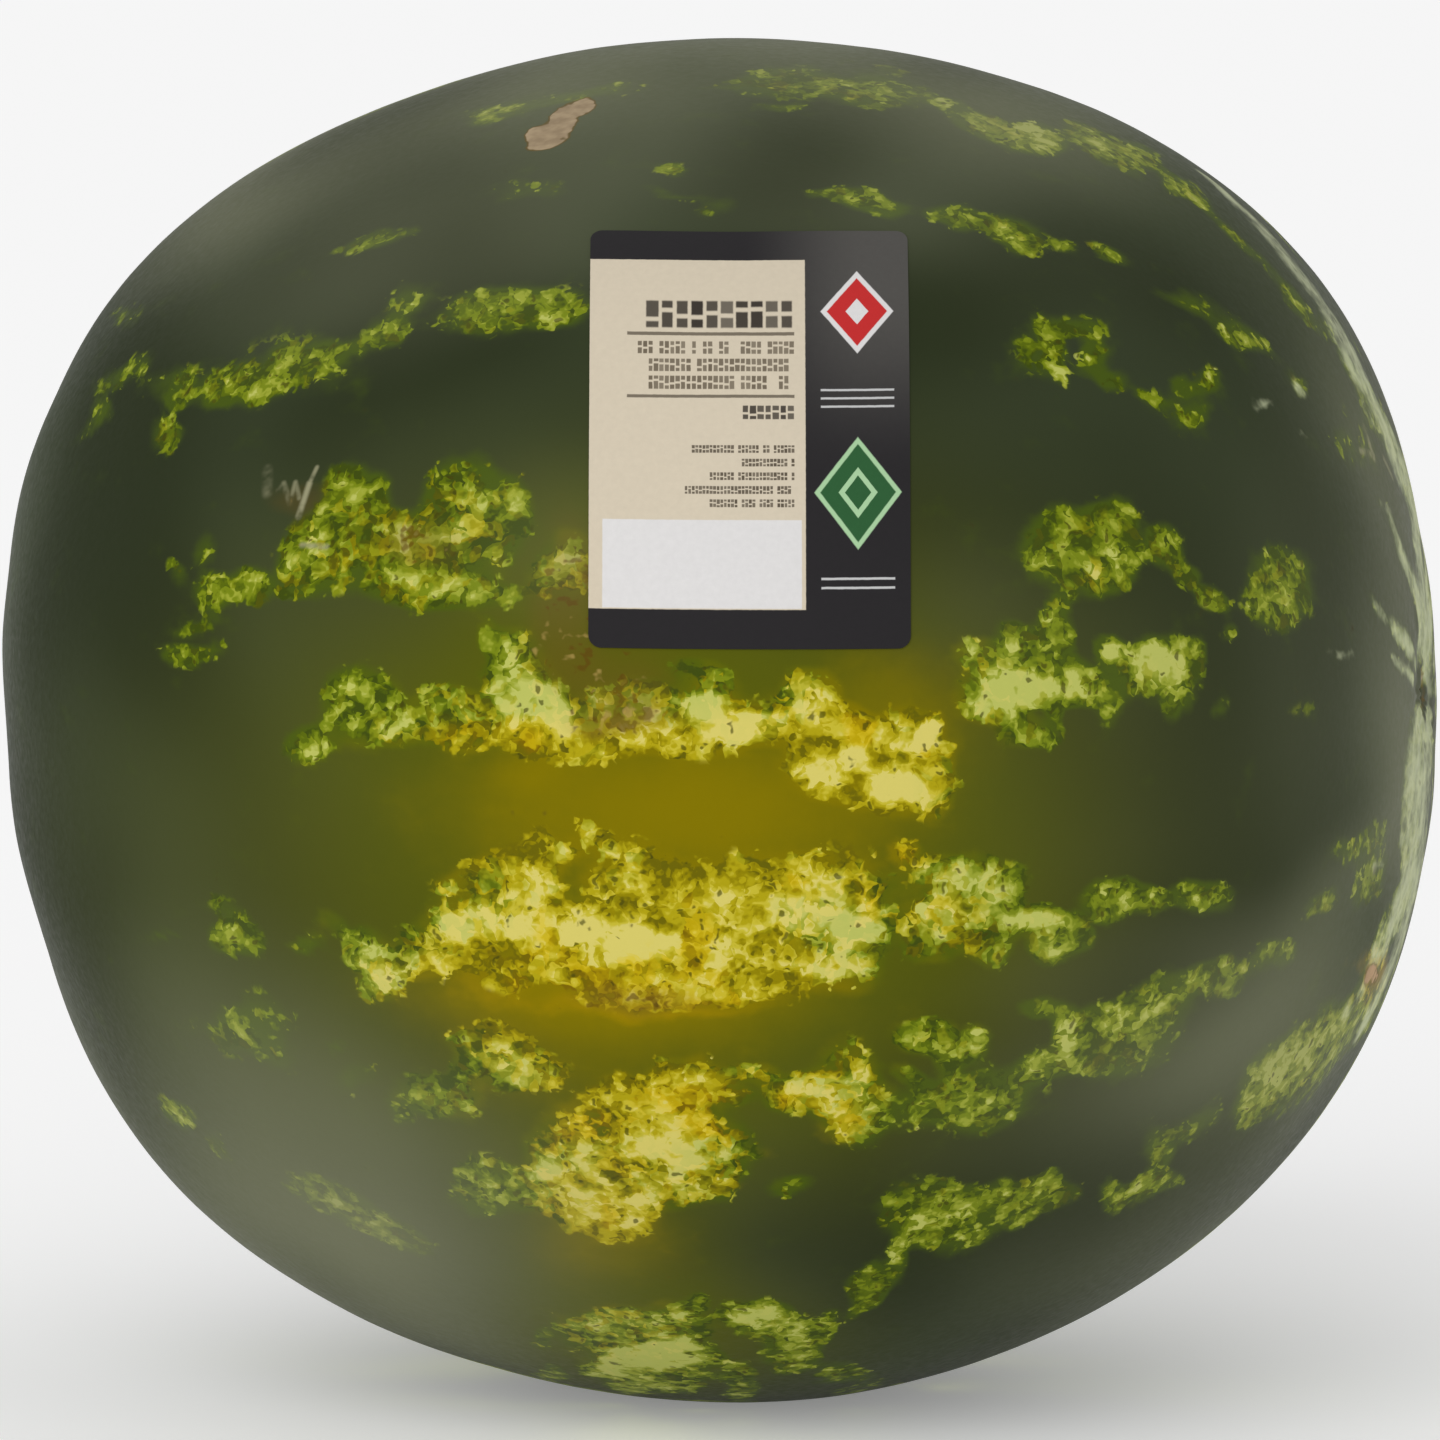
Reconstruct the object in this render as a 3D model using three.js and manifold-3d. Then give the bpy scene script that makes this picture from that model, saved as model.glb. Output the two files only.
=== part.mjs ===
// A whole round watermelon lying on its side, with a paper sticker and a short dried stem.
// Millimetres. +X runs along the fruit's axis to the blossom end, the sticker is on the -Y side,
// +Z is up, and the origin is the middle of the underside of the whole part's box.

import * as THREE from "three";
import { mergeVertices } from "three/addons/utils/BufferGeometryUtils.js";
import Module from "manifold-3d";

// The body is an ellipsoid of revolution whose radius is changed by a few cosine terms of the
// angle from the blossom end. "Angle" below is that polar angle, and "turn" goes round the axis,
// from 0 on the sticker's side (-Y) to 90 degrees on top (+Z).
const HALF_LENGTH = 134.4;
const HALF_WIDTH = 128;
const FULLNESS = { 3: -0.002, 4: -0.0185, 5: 0.0015, 6: -0.005 };
const TOP_LIFT = [-0.02, -0.016, 0.015, -0.021, 0.006, -0.009];
const AXIS_SAG = 4.7;

// Shallow lobes run from end to end and show most half way between the ends and the middle.
const LOBES = 10;
const LOBE_DEPTH = 0.6;
const LOBE_SHARE_AT_MIDDLE = 0.4;

const BLOSSOM_DIMPLE = { depth: 1.5, radius: 15 };
const BLOSSOM_SCAR = { depth: 1.4, radius: 3.2 };
const STEM_BASIN = { depth: 5.5, radius: 26 };

const RINGS = 52;
const RING_POINTS = 72;
const POLE_CROWDING = 0.75;

const FLAT_SPOT_DEPTH = 1.8;

const STEM_LENGTH = 7.6;
const STEM_RADIUS = 4.2;
const STEM_FOOT_RADIUS = 6;
const STEM_RIDGES = 5;
const STEM_RIDGE_SHARE = 0.1;
const STEM_LEAN = 0.8;
const STEM_POINTS = 30;

const STICKER_WIDTH = 56;
const STICKER_LOW_EDGE = 21.8;
const STICKER_HIGH_EDGE = 91.7;
const STICKER_CORNER = 2.2;
const STICKER_THICKNESS = 0.3;
const STICKER_FACING = THREE.MathUtils.degToRad(11.7);
const STICKER_SHIFT = 4.4;
const STICKER_COLUMNS = 12;
const STICKER_ROWS = 20;
const CORNER_ROWS = 4;

// Clear distance between the fruit and what is on it.
const GAP = 0.3;
const SEARCH_TOLERANCE = 1e-4;

const UP = new THREE.Vector3(0, 0, 1);

const wasm = await Module();
wasm.setup();

// ---- the fruit's skin as a formula ----

// How deep a round hollow is at a distance from its middle; it meets the skin smoothly.
function hollow({ depth, radius }, distance) {
  return distance < radius ? depth * (1 - (distance / radius) ** 2) ** 2 : 0;
}

function lobeHeight(angle, turn) {
  const nearEnds = Math.sin(2 * angle) ** 2 * (1 - LOBE_SHARE_AT_MIDDLE);
  const nearMiddle = Math.sin(angle) ** 2 * LOBE_SHARE_AT_MIDDLE;
  return LOBE_DEPTH * (nearEnds + nearMiddle) * Math.sin(LOBES * turn);
}

// Distance of the skin from the body's centre, before the axis sags.
function skinRadius(angle, turn) {
  const along = Math.cos(angle);
  const across = Math.sin(angle);
  const ellipse = 1 / Math.hypot(along / HALF_LENGTH, across / HALF_WIDTH);
  let share = 1;
  for (const [order, amount] of Object.entries(FULLNESS)) {
    share += amount * Math.cos(order * angle);
  }
  TOP_LIFT.forEach((amount, order) => {
    share += amount * Math.sin(turn) * across * Math.cos(order * angle);
  });
  const radius = ellipse * share;
  const fromAxis = radius * across;
  const hollows = along > 0
    ? hollow(BLOSSOM_DIMPLE, fromAxis) + hollow(BLOSSOM_SCAR, fromAxis)
    : hollow(STEM_BASIN, fromAxis);
  return radius + lobeHeight(angle, turn) - hollows;
}

// How much higher the axis lies at a place along it than at the middle.
function axisRise(x) {
  return AXIS_SAG * (x / HALF_LENGTH) ** 2;
}

function skinPoint(angle, turn) {
  const radius = skinRadius(angle, turn);
  const x = radius * Math.cos(angle);
  const fromAxis = radius * Math.sin(angle);
  return new THREE.Vector3(
    x,
    -fromAxis * Math.cos(turn),
    fromAxis * Math.sin(turn) + axisRise(x),
  );
}

function isInside(point) {
  const height = point.z - axisRise(point.x);
  const angle = Math.atan2(Math.hypot(point.y, height), point.x);
  const turn = Math.atan2(height, -point.y);
  return Math.hypot(point.x, point.y, height) < skinRadius(angle, turn);
}

// Outward direction of the plain ellipsoid, close enough to the skin's to lift a thin sheet off it.
function outward(point) {
  return new THREE.Vector3(
    point.x / HALF_LENGTH ** 2,
    point.y / HALF_WIDTH ** 2,
    point.z / HALF_WIDTH ** 2,
  ).normalize();
}

// ---- closed meshes ----

function geometryFrom(points, triangles) {
  const geometry = new THREE.BufferGeometry().setFromPoints(points);
  geometry.setIndex(triangles);
  geometry.computeVertexNormals();
  return geometry;
}

// A body through rings of points, closed by a point at each end. Seen from beyond its first
// point, the rings run anticlockwise.
function loft(firstPoint, rings, lastPoint) {
  const count = rings[0].length;
  const points = [firstPoint, ...rings.flat(), lastPoint];
  const last = points.length - 1;
  const triangles = [];
  for (let i = 0; i < count; i += 1) {
    const next = (i + 1) % count;
    triangles.push(0, 1 + i, 1 + next);
    for (let ring = 0; ring < rings.length - 1; ring += 1) {
      const near = 1 + ring * count;
      const far = near + count;
      triangles.push(near + i, far + i, far + next, near + i, far + next, near + next);
    }
    triangles.push(last, last - count + next, last - count + i);
  }
  return geometryFrom(points, triangles);
}

// A thin sheet between two grids of points with the same rows, the first grid on the outside.
function sheet(outerRows, innerRows) {
  const columns = outerRows[0].length;
  const points = [...outerRows.flat(), ...innerRows.flat()];
  const under = outerRows.length * columns;
  const triangles = [];
  const quad = (a, b, c, d) => triangles.push(a, b, c, a, c, d);
  for (let row = 0; row < outerRows.length - 1; row += 1) {
    const low = row * columns;
    const high = low + columns;
    for (let i = 0; i < columns - 1; i += 1) {
      quad(low + i, low + i + 1, high + i + 1, high + i);
      quad(under + low + i, under + high + i, under + high + i + 1, under + low + i + 1);
    }
    const end = columns - 1;
    quad(low, high, under + high, under + low);
    quad(low + end, under + low + end, under + high + end, high + end);
  }
  const top = under - columns;
  for (let i = 0; i < columns - 1; i += 1) {
    quad(i, under + i, under + i + 1, i + 1);
    quad(top + i, top + i + 1, under + top + i + 1, under + top + i);
  }
  return geometryFrom(points, triangles);
}

// ---- cutting ----

function solidFrom(geometry) {
  const plain = geometry.clone();
  plain.deleteAttribute("normal");
  plain.deleteAttribute("uv");
  const merged = mergeVertices(plain);
  return new wasm.Manifold(new wasm.Mesh({
    numProp: 3,
    vertProperties: new Float32Array(merged.attributes.position.array),
    triVerts: new Uint32Array(merged.index.array),
  }));
}

function geometryOf(solid) {
  const { vertProperties, triVerts } = solid.getMesh();
  const geometry = new THREE.BufferGeometry();
  geometry.setAttribute("position", new THREE.BufferAttribute(vertProperties, 3));
  geometry.setIndex(new THREE.BufferAttribute(triVerts, 1));
  geometry.computeVertexNormals();
  return geometry;
}

// Takes a block away from the underside, so that the body stands on a small flat spot.
function cutFlatSpot(geometry) {
  geometry.computeBoundingBox();
  const level = geometry.boundingBox.min.z + FLAT_SPOT_DEPTH;
  const side = 2 * HALF_LENGTH;
  const block = new THREE.BoxGeometry(side, side, side).translate(0, 0, level - side / 2);
  return geometryOf(solidFrom(geometry).subtract(solidFrom(block)));
}

// ---- the pieces ----

function fruitGeometry() {
  const rings = [];
  for (let ring = 1; ring < RINGS; ring += 1) {
    const share = ring / RINGS;
    const crowded = share - (POLE_CROWDING * Math.sin(2 * Math.PI * share)) / (2 * Math.PI);
    const points = [];
    for (let i = 0; i < RING_POINTS; i += 1) {
      points.push(skinPoint(Math.PI * crowded, (-2 * Math.PI * i) / RING_POINTS));
    }
    rings.push(points);
  }
  return cutFlatSpot(loft(skinPoint(0, 0), rings, skinPoint(Math.PI, 0)));
}

// The dried stem is cut short. It is ridged, flares where it meets the fruit and leans a little.
function stemGeometry() {
  const footReach = STEM_FOOT_RADIUS * (1 + STEM_RIDGE_SHARE);
  const footAngle = Math.PI - footReach / HALF_LENGTH;
  const skinUnderFoot = [Math.PI / 2, -Math.PI / 2].map((turn) => skinPoint(footAngle, turn).x);
  const foot = Math.min(...skinUnderFoot) - GAP;
  const height = axisRise(foot);
  const stations = [
    { share: 0, radius: STEM_FOOT_RADIUS },
    { share: 0.12, radius: STEM_FOOT_RADIUS * 0.93 },
    { share: 0.35, radius: STEM_RADIUS * 1.06 },
    { share: 0.65, radius: STEM_RADIUS * 0.94 },
    { share: 0.92, radius: STEM_RADIUS },
    { share: 1, radius: STEM_RADIUS * 0.82 },
  ];
  const centre = (share) => new THREE.Vector3(
    foot - STEM_LENGTH * share,
    0,
    height + STEM_LEAN * share ** 2,
  );
  const ring = ({ share, radius }) => Array.from({ length: STEM_POINTS }, (_, i) => {
    const turn = (-2 * Math.PI * i) / STEM_POINTS;
    const reach = radius * (1 + STEM_RIDGE_SHARE * Math.cos(STEM_RIDGES * turn));
    const offset = new THREE.Vector3(0, -reach * Math.cos(turn), reach * Math.sin(turn));
    return offset.add(centre(share));
  });
  return loft(centre(0), stations.map(ring), centre(1));
}

// Where a level line, square to the sticker's facing, meets the skin.
function stickerPoint(sideways, height) {
  const facing = new THREE.Vector3(Math.sin(STICKER_FACING), -Math.cos(STICKER_FACING), 0);
  const start = new THREE.Vector3()
    .crossVectors(UP, facing)
    .multiplyScalar(STICKER_SHIFT + sideways)
    .addScaledVector(UP, height);
  let inside = 0;
  let outside = 2 * HALF_WIDTH;
  while (outside - inside > SEARCH_TOLERANCE) {
    const middle = (inside + outside) / 2;
    if (isInside(start.clone().addScaledVector(facing, middle))) {
      inside = middle;
    } else {
      outside = middle;
    }
  }
  return start.addScaledVector(facing, inside);
}

// The sticker's rows as shares of its height from the low edge, closer together at its corners.
function stickerRows(height) {
  const corner = [];
  for (let i = 0; i < CORNER_ROWS; i += 1) {
    const quarter = (i / CORNER_ROWS) * (Math.PI / 2);
    corner.push(((1 - Math.cos(quarter)) * STICKER_CORNER) / height);
  }
  const start = STICKER_CORNER / height;
  const middle = [];
  for (let i = 0; i <= STICKER_ROWS; i += 1) {
    middle.push(start + ((1 - 2 * start) * i) / STICKER_ROWS);
  }
  return [...corner, ...middle, ...corner.map((share) => 1 - share).reverse()];
}

function stickerGeometry() {
  const reach = HALF_WIDTH;
  const low = Math.asin(STICKER_LOW_EDGE / reach);
  const high = Math.asin(STICKER_HIGH_EDGE / reach);
  const length = reach * (high - low);
  const lifted = (lift) => stickerRows(length).map((share) => {
    const height = reach * Math.sin(low + (high - low) * share);
    const fromEdge = Math.min(share, 1 - share) * length;
    const short = Math.max(0, STICKER_CORNER - fromEdge);
    const rounding = STICKER_CORNER - Math.sqrt(STICKER_CORNER ** 2 - short ** 2);
    const halfWidth = STICKER_WIDTH / 2 - rounding;
    return Array.from({ length: STICKER_COLUMNS + 1 }, (_, i) => {
      const point = stickerPoint(halfWidth * ((2 * i) / STICKER_COLUMNS - 1), height);
      return point.addScaledVector(outward(point), lift);
    });
  });
  return sheet(lifted(GAP + STICKER_THICKNESS), lifted(GAP));
}

// ---- the part ----

function piece(name, geometry, color, roughness) {
  const material = new THREE.MeshStandardMaterial({ color, roughness, metalness: 0 });
  const mesh = new THREE.Mesh(geometry, material);
  mesh.name = name;
  return mesh;
}

const group = new THREE.Group();
group.add(
  piece("fruit", fruitGeometry(), 0x47502a, 0.45),
  piece("stem_stub", stemGeometry(), 0x6d5a3a, 0.9),
  piece("label", stickerGeometry(), 0xcfc6b4, 0.6),
);

const partBox = new THREE.Box3().setFromObject(group, true);
const partMiddle = partBox.getCenter(new THREE.Vector3());
group.position.set(-partMiddle.x, -partMiddle.y, -partBox.min.z);
group.updateMatrixWorld(true);

export default group;
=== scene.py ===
# A whole round watermelon on its side, with a paper sticker and a short dried stem. Metres, +Z up.
# +X runs along the fruit's axis to the blossom end, and the sticker is on the -Y side.
import math
import random

import bpy
import numpy as np
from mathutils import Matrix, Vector, noise


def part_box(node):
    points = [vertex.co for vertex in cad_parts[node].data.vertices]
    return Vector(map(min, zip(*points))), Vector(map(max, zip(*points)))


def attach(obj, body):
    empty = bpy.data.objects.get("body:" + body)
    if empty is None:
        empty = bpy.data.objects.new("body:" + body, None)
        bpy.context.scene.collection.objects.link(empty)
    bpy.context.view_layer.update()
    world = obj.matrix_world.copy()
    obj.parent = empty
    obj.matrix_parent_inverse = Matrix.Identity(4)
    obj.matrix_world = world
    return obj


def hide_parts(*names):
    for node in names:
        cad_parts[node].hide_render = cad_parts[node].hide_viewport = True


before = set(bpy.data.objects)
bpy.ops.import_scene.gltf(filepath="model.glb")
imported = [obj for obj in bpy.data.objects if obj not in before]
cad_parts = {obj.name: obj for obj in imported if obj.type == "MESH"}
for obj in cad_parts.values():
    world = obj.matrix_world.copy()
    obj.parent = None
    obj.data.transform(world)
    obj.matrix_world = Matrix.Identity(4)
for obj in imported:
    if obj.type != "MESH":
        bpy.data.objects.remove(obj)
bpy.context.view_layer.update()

MM = 0.001

# ---- the body's driving dimensions, the same as the solid's ----

HALF_LENGTH = 134.4 * MM
HALF_WIDTH = 128 * MM
FULLNESS = {3: -0.002, 4: -0.0185, 5: 0.0015, 6: -0.005}
TOP_LIFT = (-0.02, -0.016, 0.015, -0.021, 0.006, -0.009)
AXIS_SAG = 4.7 * MM
LOBES = 10
LOBE_DEPTH = 0.6 * MM
LOBE_SHARE_AT_MIDDLE = 0.4
FLAT_SPOT_DEPTH = 1.8 * MM
FLAT_SPOT_ROUNDING = 0.4 * MM

# Round hollows at the two ends, as (depth, radius).
BLOSSOM_DIMPLE = (1.5 * MM, 15 * MM)
BLOSSOM_SCAR = (1.4 * MM, 3.2 * MM)
STEM_BASIN = (5.5 * MM, 26 * MM)

STICKER_WIDTH = 56 * MM
STICKER_LOW_EDGE = 21.8 * MM
STICKER_HIGH_EDGE = 91.7 * MM
STICKER_CORNER = 2.2 * MM
STICKER_FACING = math.radians(11.7)
STICKER_SHIFT = 4.4 * MM
STICKER_LIFT = 0.06 * MM
STICKER_THICKNESS = 0.2 * MM

# ---- the camera ----

CAMERA_AZIMUTH = math.radians(11.68)
CAMERA_ELEVATION = math.radians(6)
CAMERA_DISTANCE = 2.0
CAMERA_LENS = 270
CAMERA_SENSOR = 36
# How far left of and below the body's centre the camera looks.
AIM_LEFT = 0.69 * MM
AIM_BELOW = 3.64 * MM


def from_direction(azimuth, elevation):
    """Way out of the body towards a place; azimuth 0 is the -Y side."""
    return Vector((
        math.sin(azimuth) * math.cos(elevation),
        -math.cos(azimuth) * math.cos(elevation),
        math.sin(elevation),
    ))


# The front view's own directions.
RIGHT = Vector((math.cos(CAMERA_AZIMUTH), math.sin(CAMERA_AZIMUTH), 0))
BACK = from_direction(CAMERA_AZIMUTH, CAMERA_ELEVATION)
UP = BACK.cross(RIGHT)

# ---- light marks on the front, one row each ----
# Millimetres right of and above the middle of the front view: place, half length, half height.
# Then the slope in degrees, how much of it is light, and how much of that is pale flecks.

TOP_RIM = (
    (-39.5, 112.5, 7.5, 1.5, 12, 0.45, 0.3),
    (-25, 116, 9, 1.5, 5, 0.41, 0.12),
    (0, 117.5, 4, 0.5, 0, 0.27, 0.2),
    (18.5, 117.5, 14, 2.5, -3, 0.54, 0.35),
    (12, 113, 4, 1, 0, 0.32, 0.2),
    (29.5, 115.5, 5.5, 2, -15, 0.45, 0.3),
    (41, 114, 5, 1.5, -15, 0.36, 0.15),
    (50, 109.5, 9.5, 2, -22, 0.68, 0.6),
    (59.5, 107, 4, 2, -25, 0.8, 0.65),
    (72.5, 105.5, 8, 2, -20, 0.8, 0.65),
    (81.5, 101.5, 3.5, 1, -30, 0.5, 0.3),
    (87, 98, 4, 1.5, -30, 0.7, 0.55),
    (96.5, 89.5, 7.5, 1.5, -42, 0.35, 0.15),
    (107.5, 77.5, 7.5, 1.5, -50, 0.35, 0.2),
)
ABOVE_STICKER = (
    (-62, 89, 9, 1, 14, 0.34, 0.2),
    (-78, 82.5, 3.5, 1, 10, 0.21, 0.1),
    (-38, 97, 7.5, 1.5, 0, 0.21, 0.12),
    (-9, 101.5, 3, 1, 0, 0.42, 0.4),
    (-9.5, 97.5, 6, 1, -3, 0.3, 0.35),
    (0, 94.5, 4.5, 2, 0, 0.21, 0.05),
    (21.5, 97.5, 5, 1, -8, 0.42, 0.4),
    (29, 95.5, 5, 2, -15, 0.59, 0.55),
    (43.5, 93, 5.5, 2, -5, 0.47, 0.35),
    (54.5, 90, 5, 2.5, -25, 0.64, 0.65),
    (63.5, 87.5, 2.5, 1, 0, 0.26, 0.2),
    (72.5, 87, 3.5, 1.5, -20, 0.47, 0.4),
    (86, 77.5, 6, 1.5, -18, 0.38, 0.15),
    (97.5, 70.5, 6, 1.5, -38, 0.47, 0.35),
    (107.5, 61.5, 1.5, 1.5, 0, 0.26, 0.3),
    (116, 52, 4.5, 3.5, -60, 0.26, 0.15),
)
UPPER_BAND = (
    (-110.5, 75, 3.5, 1.5, 25, 0.21, 0.19),
    (-109.5, 65.5, 3.5, 1.5, 15, 0.3, 0.29),
    (-112.5, 62.5, 4, 1.5, 5, 0.21, 0.07),
    (-114.5, 57.5, 2.5, 2.5, 40, 0.4, 0.37),
    (-118, 54.5, 3.5, 1.5, 40, 0.27, 0.26),
    (-100.5, 62, 4.5, 3.5, 0, 0.3, 0.19),
    (-99.5, 63.5, 1.5, 1, 0, 0.45, 0.4),
    (-100.5, 59, 2, 1.5, 0, 0.45, 0.37),
    (-102, 53, 3, 3, 0, 0.27, 0.14),
    (-100.5, 54, 1.5, 1.5, 0, 0.45, 0.44),
    (-90.5, 61.5, 5, 3.5, 12, 0.53, 0.37),
    (-92, 59, 3, 2, 20, 0.54, 0.58),
    (-84.5, 63.5, 3, 1, 0, 0.42, 0.37),
    (-82, 61.5, 5, 1, 15, 0.45, 0.48),
    (-79.5, 65, 9.5, 5, 10, 0.24, 0.06),
    (-81, 66.5, 3.5, 2, 0, 0.36, 0.22),
    (-73.5, 68, 3, 3.5, 0, 0.45, 0.14),
    (-68.5, 69.5, 2, 1.5, 0, 0.3, 0.37),
    (-60, 72.5, 3, 2, 30, 0.47, 0.37),
    (-62, 72, 5.5, 3.5, 30, 0.24, 0.09),
    (-57.5, 78, 3.5, 2, 12, 0.33, 0.22),
    (-37, 75.5, 13, 3.5, 4, 0.51, 0.37),
    (-42.5, 77.5, 5.5, 2, 0, 0.36, 0.22),
    (-31.5, 73.5, 5, 2, -5, 0.51, 0.44),
    (59, 68.5, 5, 5, 0, 0.22, 0.05),
    (62, 68.5, 6.5, 1.5, -70, 0.48, 0.26),
    (67, 72.5, 4.5, 1.5, -8, 0.45, 0.2),
    (70.5, 68, 3, 2, -55, 0.53, 0.33),
    (69, 65.5, 2.5, 2.5, 0, 0.36, 0.15),
    (72.5, 62.5, 2.5, 2, -45, 0.56, 0.26),
    (79, 59.5, 3.5, 1, -15, 0.36, 0.2),
    (87, 60, 6, 5, 0, 0.22, 0.05),
    (85, 63, 1.5, 1.5, 0, 0.45, 0.3),
    (91, 63.5, 2, 1.5, 0, 0.45, 0.3),
    (89.5, 61, 3.5, 1, 0, 0.43, 0.26),
    (88, 56, 3, 1.5, 0, 0.28, 0.15),
)
STICKER_BAND = (
    (-100.5, 26, 1.5, 1.5, 0, 0.35, 0.15),
    (-96, 31, 1.5, 3.5, -25, 0.3, 0.1),
    (-94, 23.5, 3.5, 3, -25, 0.7, 0.5),
    (-86.5, 24, 3.5, 3.5, 35, 0.7, 0.5),
    (-79, 24, 3.5, 1, 8, 0.4, 0.4),
    (-96, 17.5, 3, 1, 5, 0.25, 0.15),
    (-97.5, 13, 4.5, 1.5, 3, 0.55, 0.35),
    (-73.5, 31, 7, 5.5, 25, 0.95, 0.55),
    (-67.5, 39, 5, 5.5, 0, 0.85, 0.3),
    (-60, 32.5, 6.5, 5, 0, 0.9, 0.6),
    (-52.5, 24, 11.5, 3.5, -3, 1, 0.75),
    (-47, 42.5, 6.5, 5, 20, 0.8, 0.5),
    (-48, 34, 9.5, 5.5, 0, 0.8, 0.45),
    (-38.5, 39.5, 2.5, 4.5, 0, 0.4, 0.35),
    (62, 32.5, 5.5, 5.5, 0, 0.75, 0.42),
    (72, 37, 4.5, 3.5, 0, 0.75, 0.47),
    (72.5, 27.5, 5, 4, 30, 0.9, 0.51),
    (62.5, 22, 3.5, 2, 40, 0.6, 0.38),
    (82, 32.5, 3.5, 4, 0, 0.65, 0.42),
    (87, 27.5, 2.5, 2.5, -60, 0.55, 0.38),
    (91, 22, 3, 2, -40, 0.5, 0.3),
    (97.5, 29.5, 1.5, 3, -15, 0.2, 0.21),
    (103.5, 23.5, 5.5, 5.5, 0, 0.95, 0.64),
    (109.5, 29.5, 4, 2, -30, 0.2, 0.21),
    (94.5, 15.5, 1.5, 2, 0, 0.3, 0.17),
    (62, 17.5, 3, 3.5, 20, 0.5, 0.26),
)
MIDDLE_BAND = (
    (-29, 28.5, 4.5, 5, 0, 0.95, 0.6),
    (-42, 14.5, 2.4, 3.2, 0, 1, 0.6),
    (-37, 11.5, 4.5, 4.5, -20, 1, 0.95),
    (-39.5, 8.5, 5, 1.5, 0, 0.64, 0.2),
    (-41.5, 5.5, 2, 1.5, 0, 0.9, 0.8),
    (-35, 3.5, 5, 5, 0, 1, 1),
    (-31, 0.5, 1.5, 5, 0, 1, 0.95),
    (-36, -4, 4, 3, 0, 0.98, 0.55),
    (-48, -1, 6, 4.5, 0, 1, 0.7),
    (-52, 3, 3.5, 3, 0, 0.93, 0.65),
    (-66, 2.5, 5.5, 5.5, -20, 0.95, 0.55),
    (-60, -1.5, 3, 2.5, 0, 0.74, 0.6),
    (-76, -4.5, 4.5, 2.5, 20, 0.85, 0.6),
    (-22.5, 3.5, 3, 3, 0, 0.95, 0.75),
    (-14.5, 4.5, 4.5, 2, 0, 0.65, 0.4),
    (-19, -0.5, 8, 3, 0, 0.85, 0.45),
    (-22.5, -5, 3.5, 2, 0, 0.98, 0.75),
    (-16, -5, 3.5, 2, 0, 0.8, 0.45),
    (-10.5, -5.5, 3.5, 2, 0, 0.92, 0.8),
    (-3.5, 8, 4.5, 2, 0, 0.92, 0.45),
    (-3.5, 2.5, 4, 3, 0, 1, 0.9),
    (4, -1.5, 6.5, 3, 0, 1, 0.95),
    (11.5, -2, 1.5, 2.5, 0, 0.95, 0.75),
    (16.5, 3, 5, 5, 0, 1, 0.75),
    (17.5, -2, 2, 1, 0, 0.85, 0.5),
    (25.5, -2.5, 4.5, 3, 0, 0.98, 0.5),
    (33, -3.5, 3.5, 5.5, 0, 0.95, 0.5),
    (38, -2.5, 2, 3, 0, 0.97, 0.9),
    (38, -6, 2, 1.5, 0, 0.92, 0.5),
    (25.5, -7, 3.5, 2, 20, 1, 1),
    (33, -12, 5.5, 3.5, -15, 1, 1),
    (19.5, -10.5, 3.5, 4, 0, 0.97, 0.9),
    (40.5, -12, 3, 5, 0, 0.95, 0.65),
    (26, -14, 5, 2, 0, 0.75, 0.4),
    (51.5, 10.5, 8, 2.5, 0, 0.6, 0.35),
    (59.5, 12, 6.5, 3.5, -35, 0.8, 0.37),
    (55.5, 5.5, 10, 3, 0, 1, 0.87),
    (50, 1.5, 5.5, 2.5, 0, 0.97, 0.9),
    (66.5, 5, 3.5, 2.5, -30, 0.9, 0.69),
    (62.5, 16, 2, 2.5, 0, 0.75, 0.32),
    (57.5, -2.5, 5, 2.5, 0, 0.6, 0.23),
    (61, -3.5, 1.5, 1.5, 0, 0.85, 0.37),
    (63, 2, 1.5, 2.5, 0, 0.8, 0.32),
    (72, 12.5, 2.5, 3, -20, 0.95, 0.83),
    (80.5, 9.5, 6, 3.5, 0, 1, 0.78),
    (87, 11.5, 2, 2, 0, 0.85, 0.18),
    (78, 6, 2.5, 1.5, 0, 0.8, 0.37),
    (83, 3, 1.5, 3.5, 0, 0.4, 0.28),
    (72.5, 2, 2, 3.5, 0, 0.35, 0.18),
    (86.5, 3, 2.5, 2, 0, 0.3, 0.14),
    (92.5, 2, 1.5, 2, -50, 0.3, 0.18),
    (111, 2.5, 4, 1.5, 5, 0.13, 0.14),
    (-29.5, -2, 22, 5, 0, 0.5, 0.4),
    (-5.5, -0.5, 13, 5, 0, 0.5, 0.4),
    (28, -6.5, 14, 5.5, 0, 0.55, 0.45),
    (-53.5, -0.5, 14, 4.5, 0, 0.55, 0.45),
    (72.5, 6.5, 13, 3.5, 0, 0.35, 0.28),
)
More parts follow.
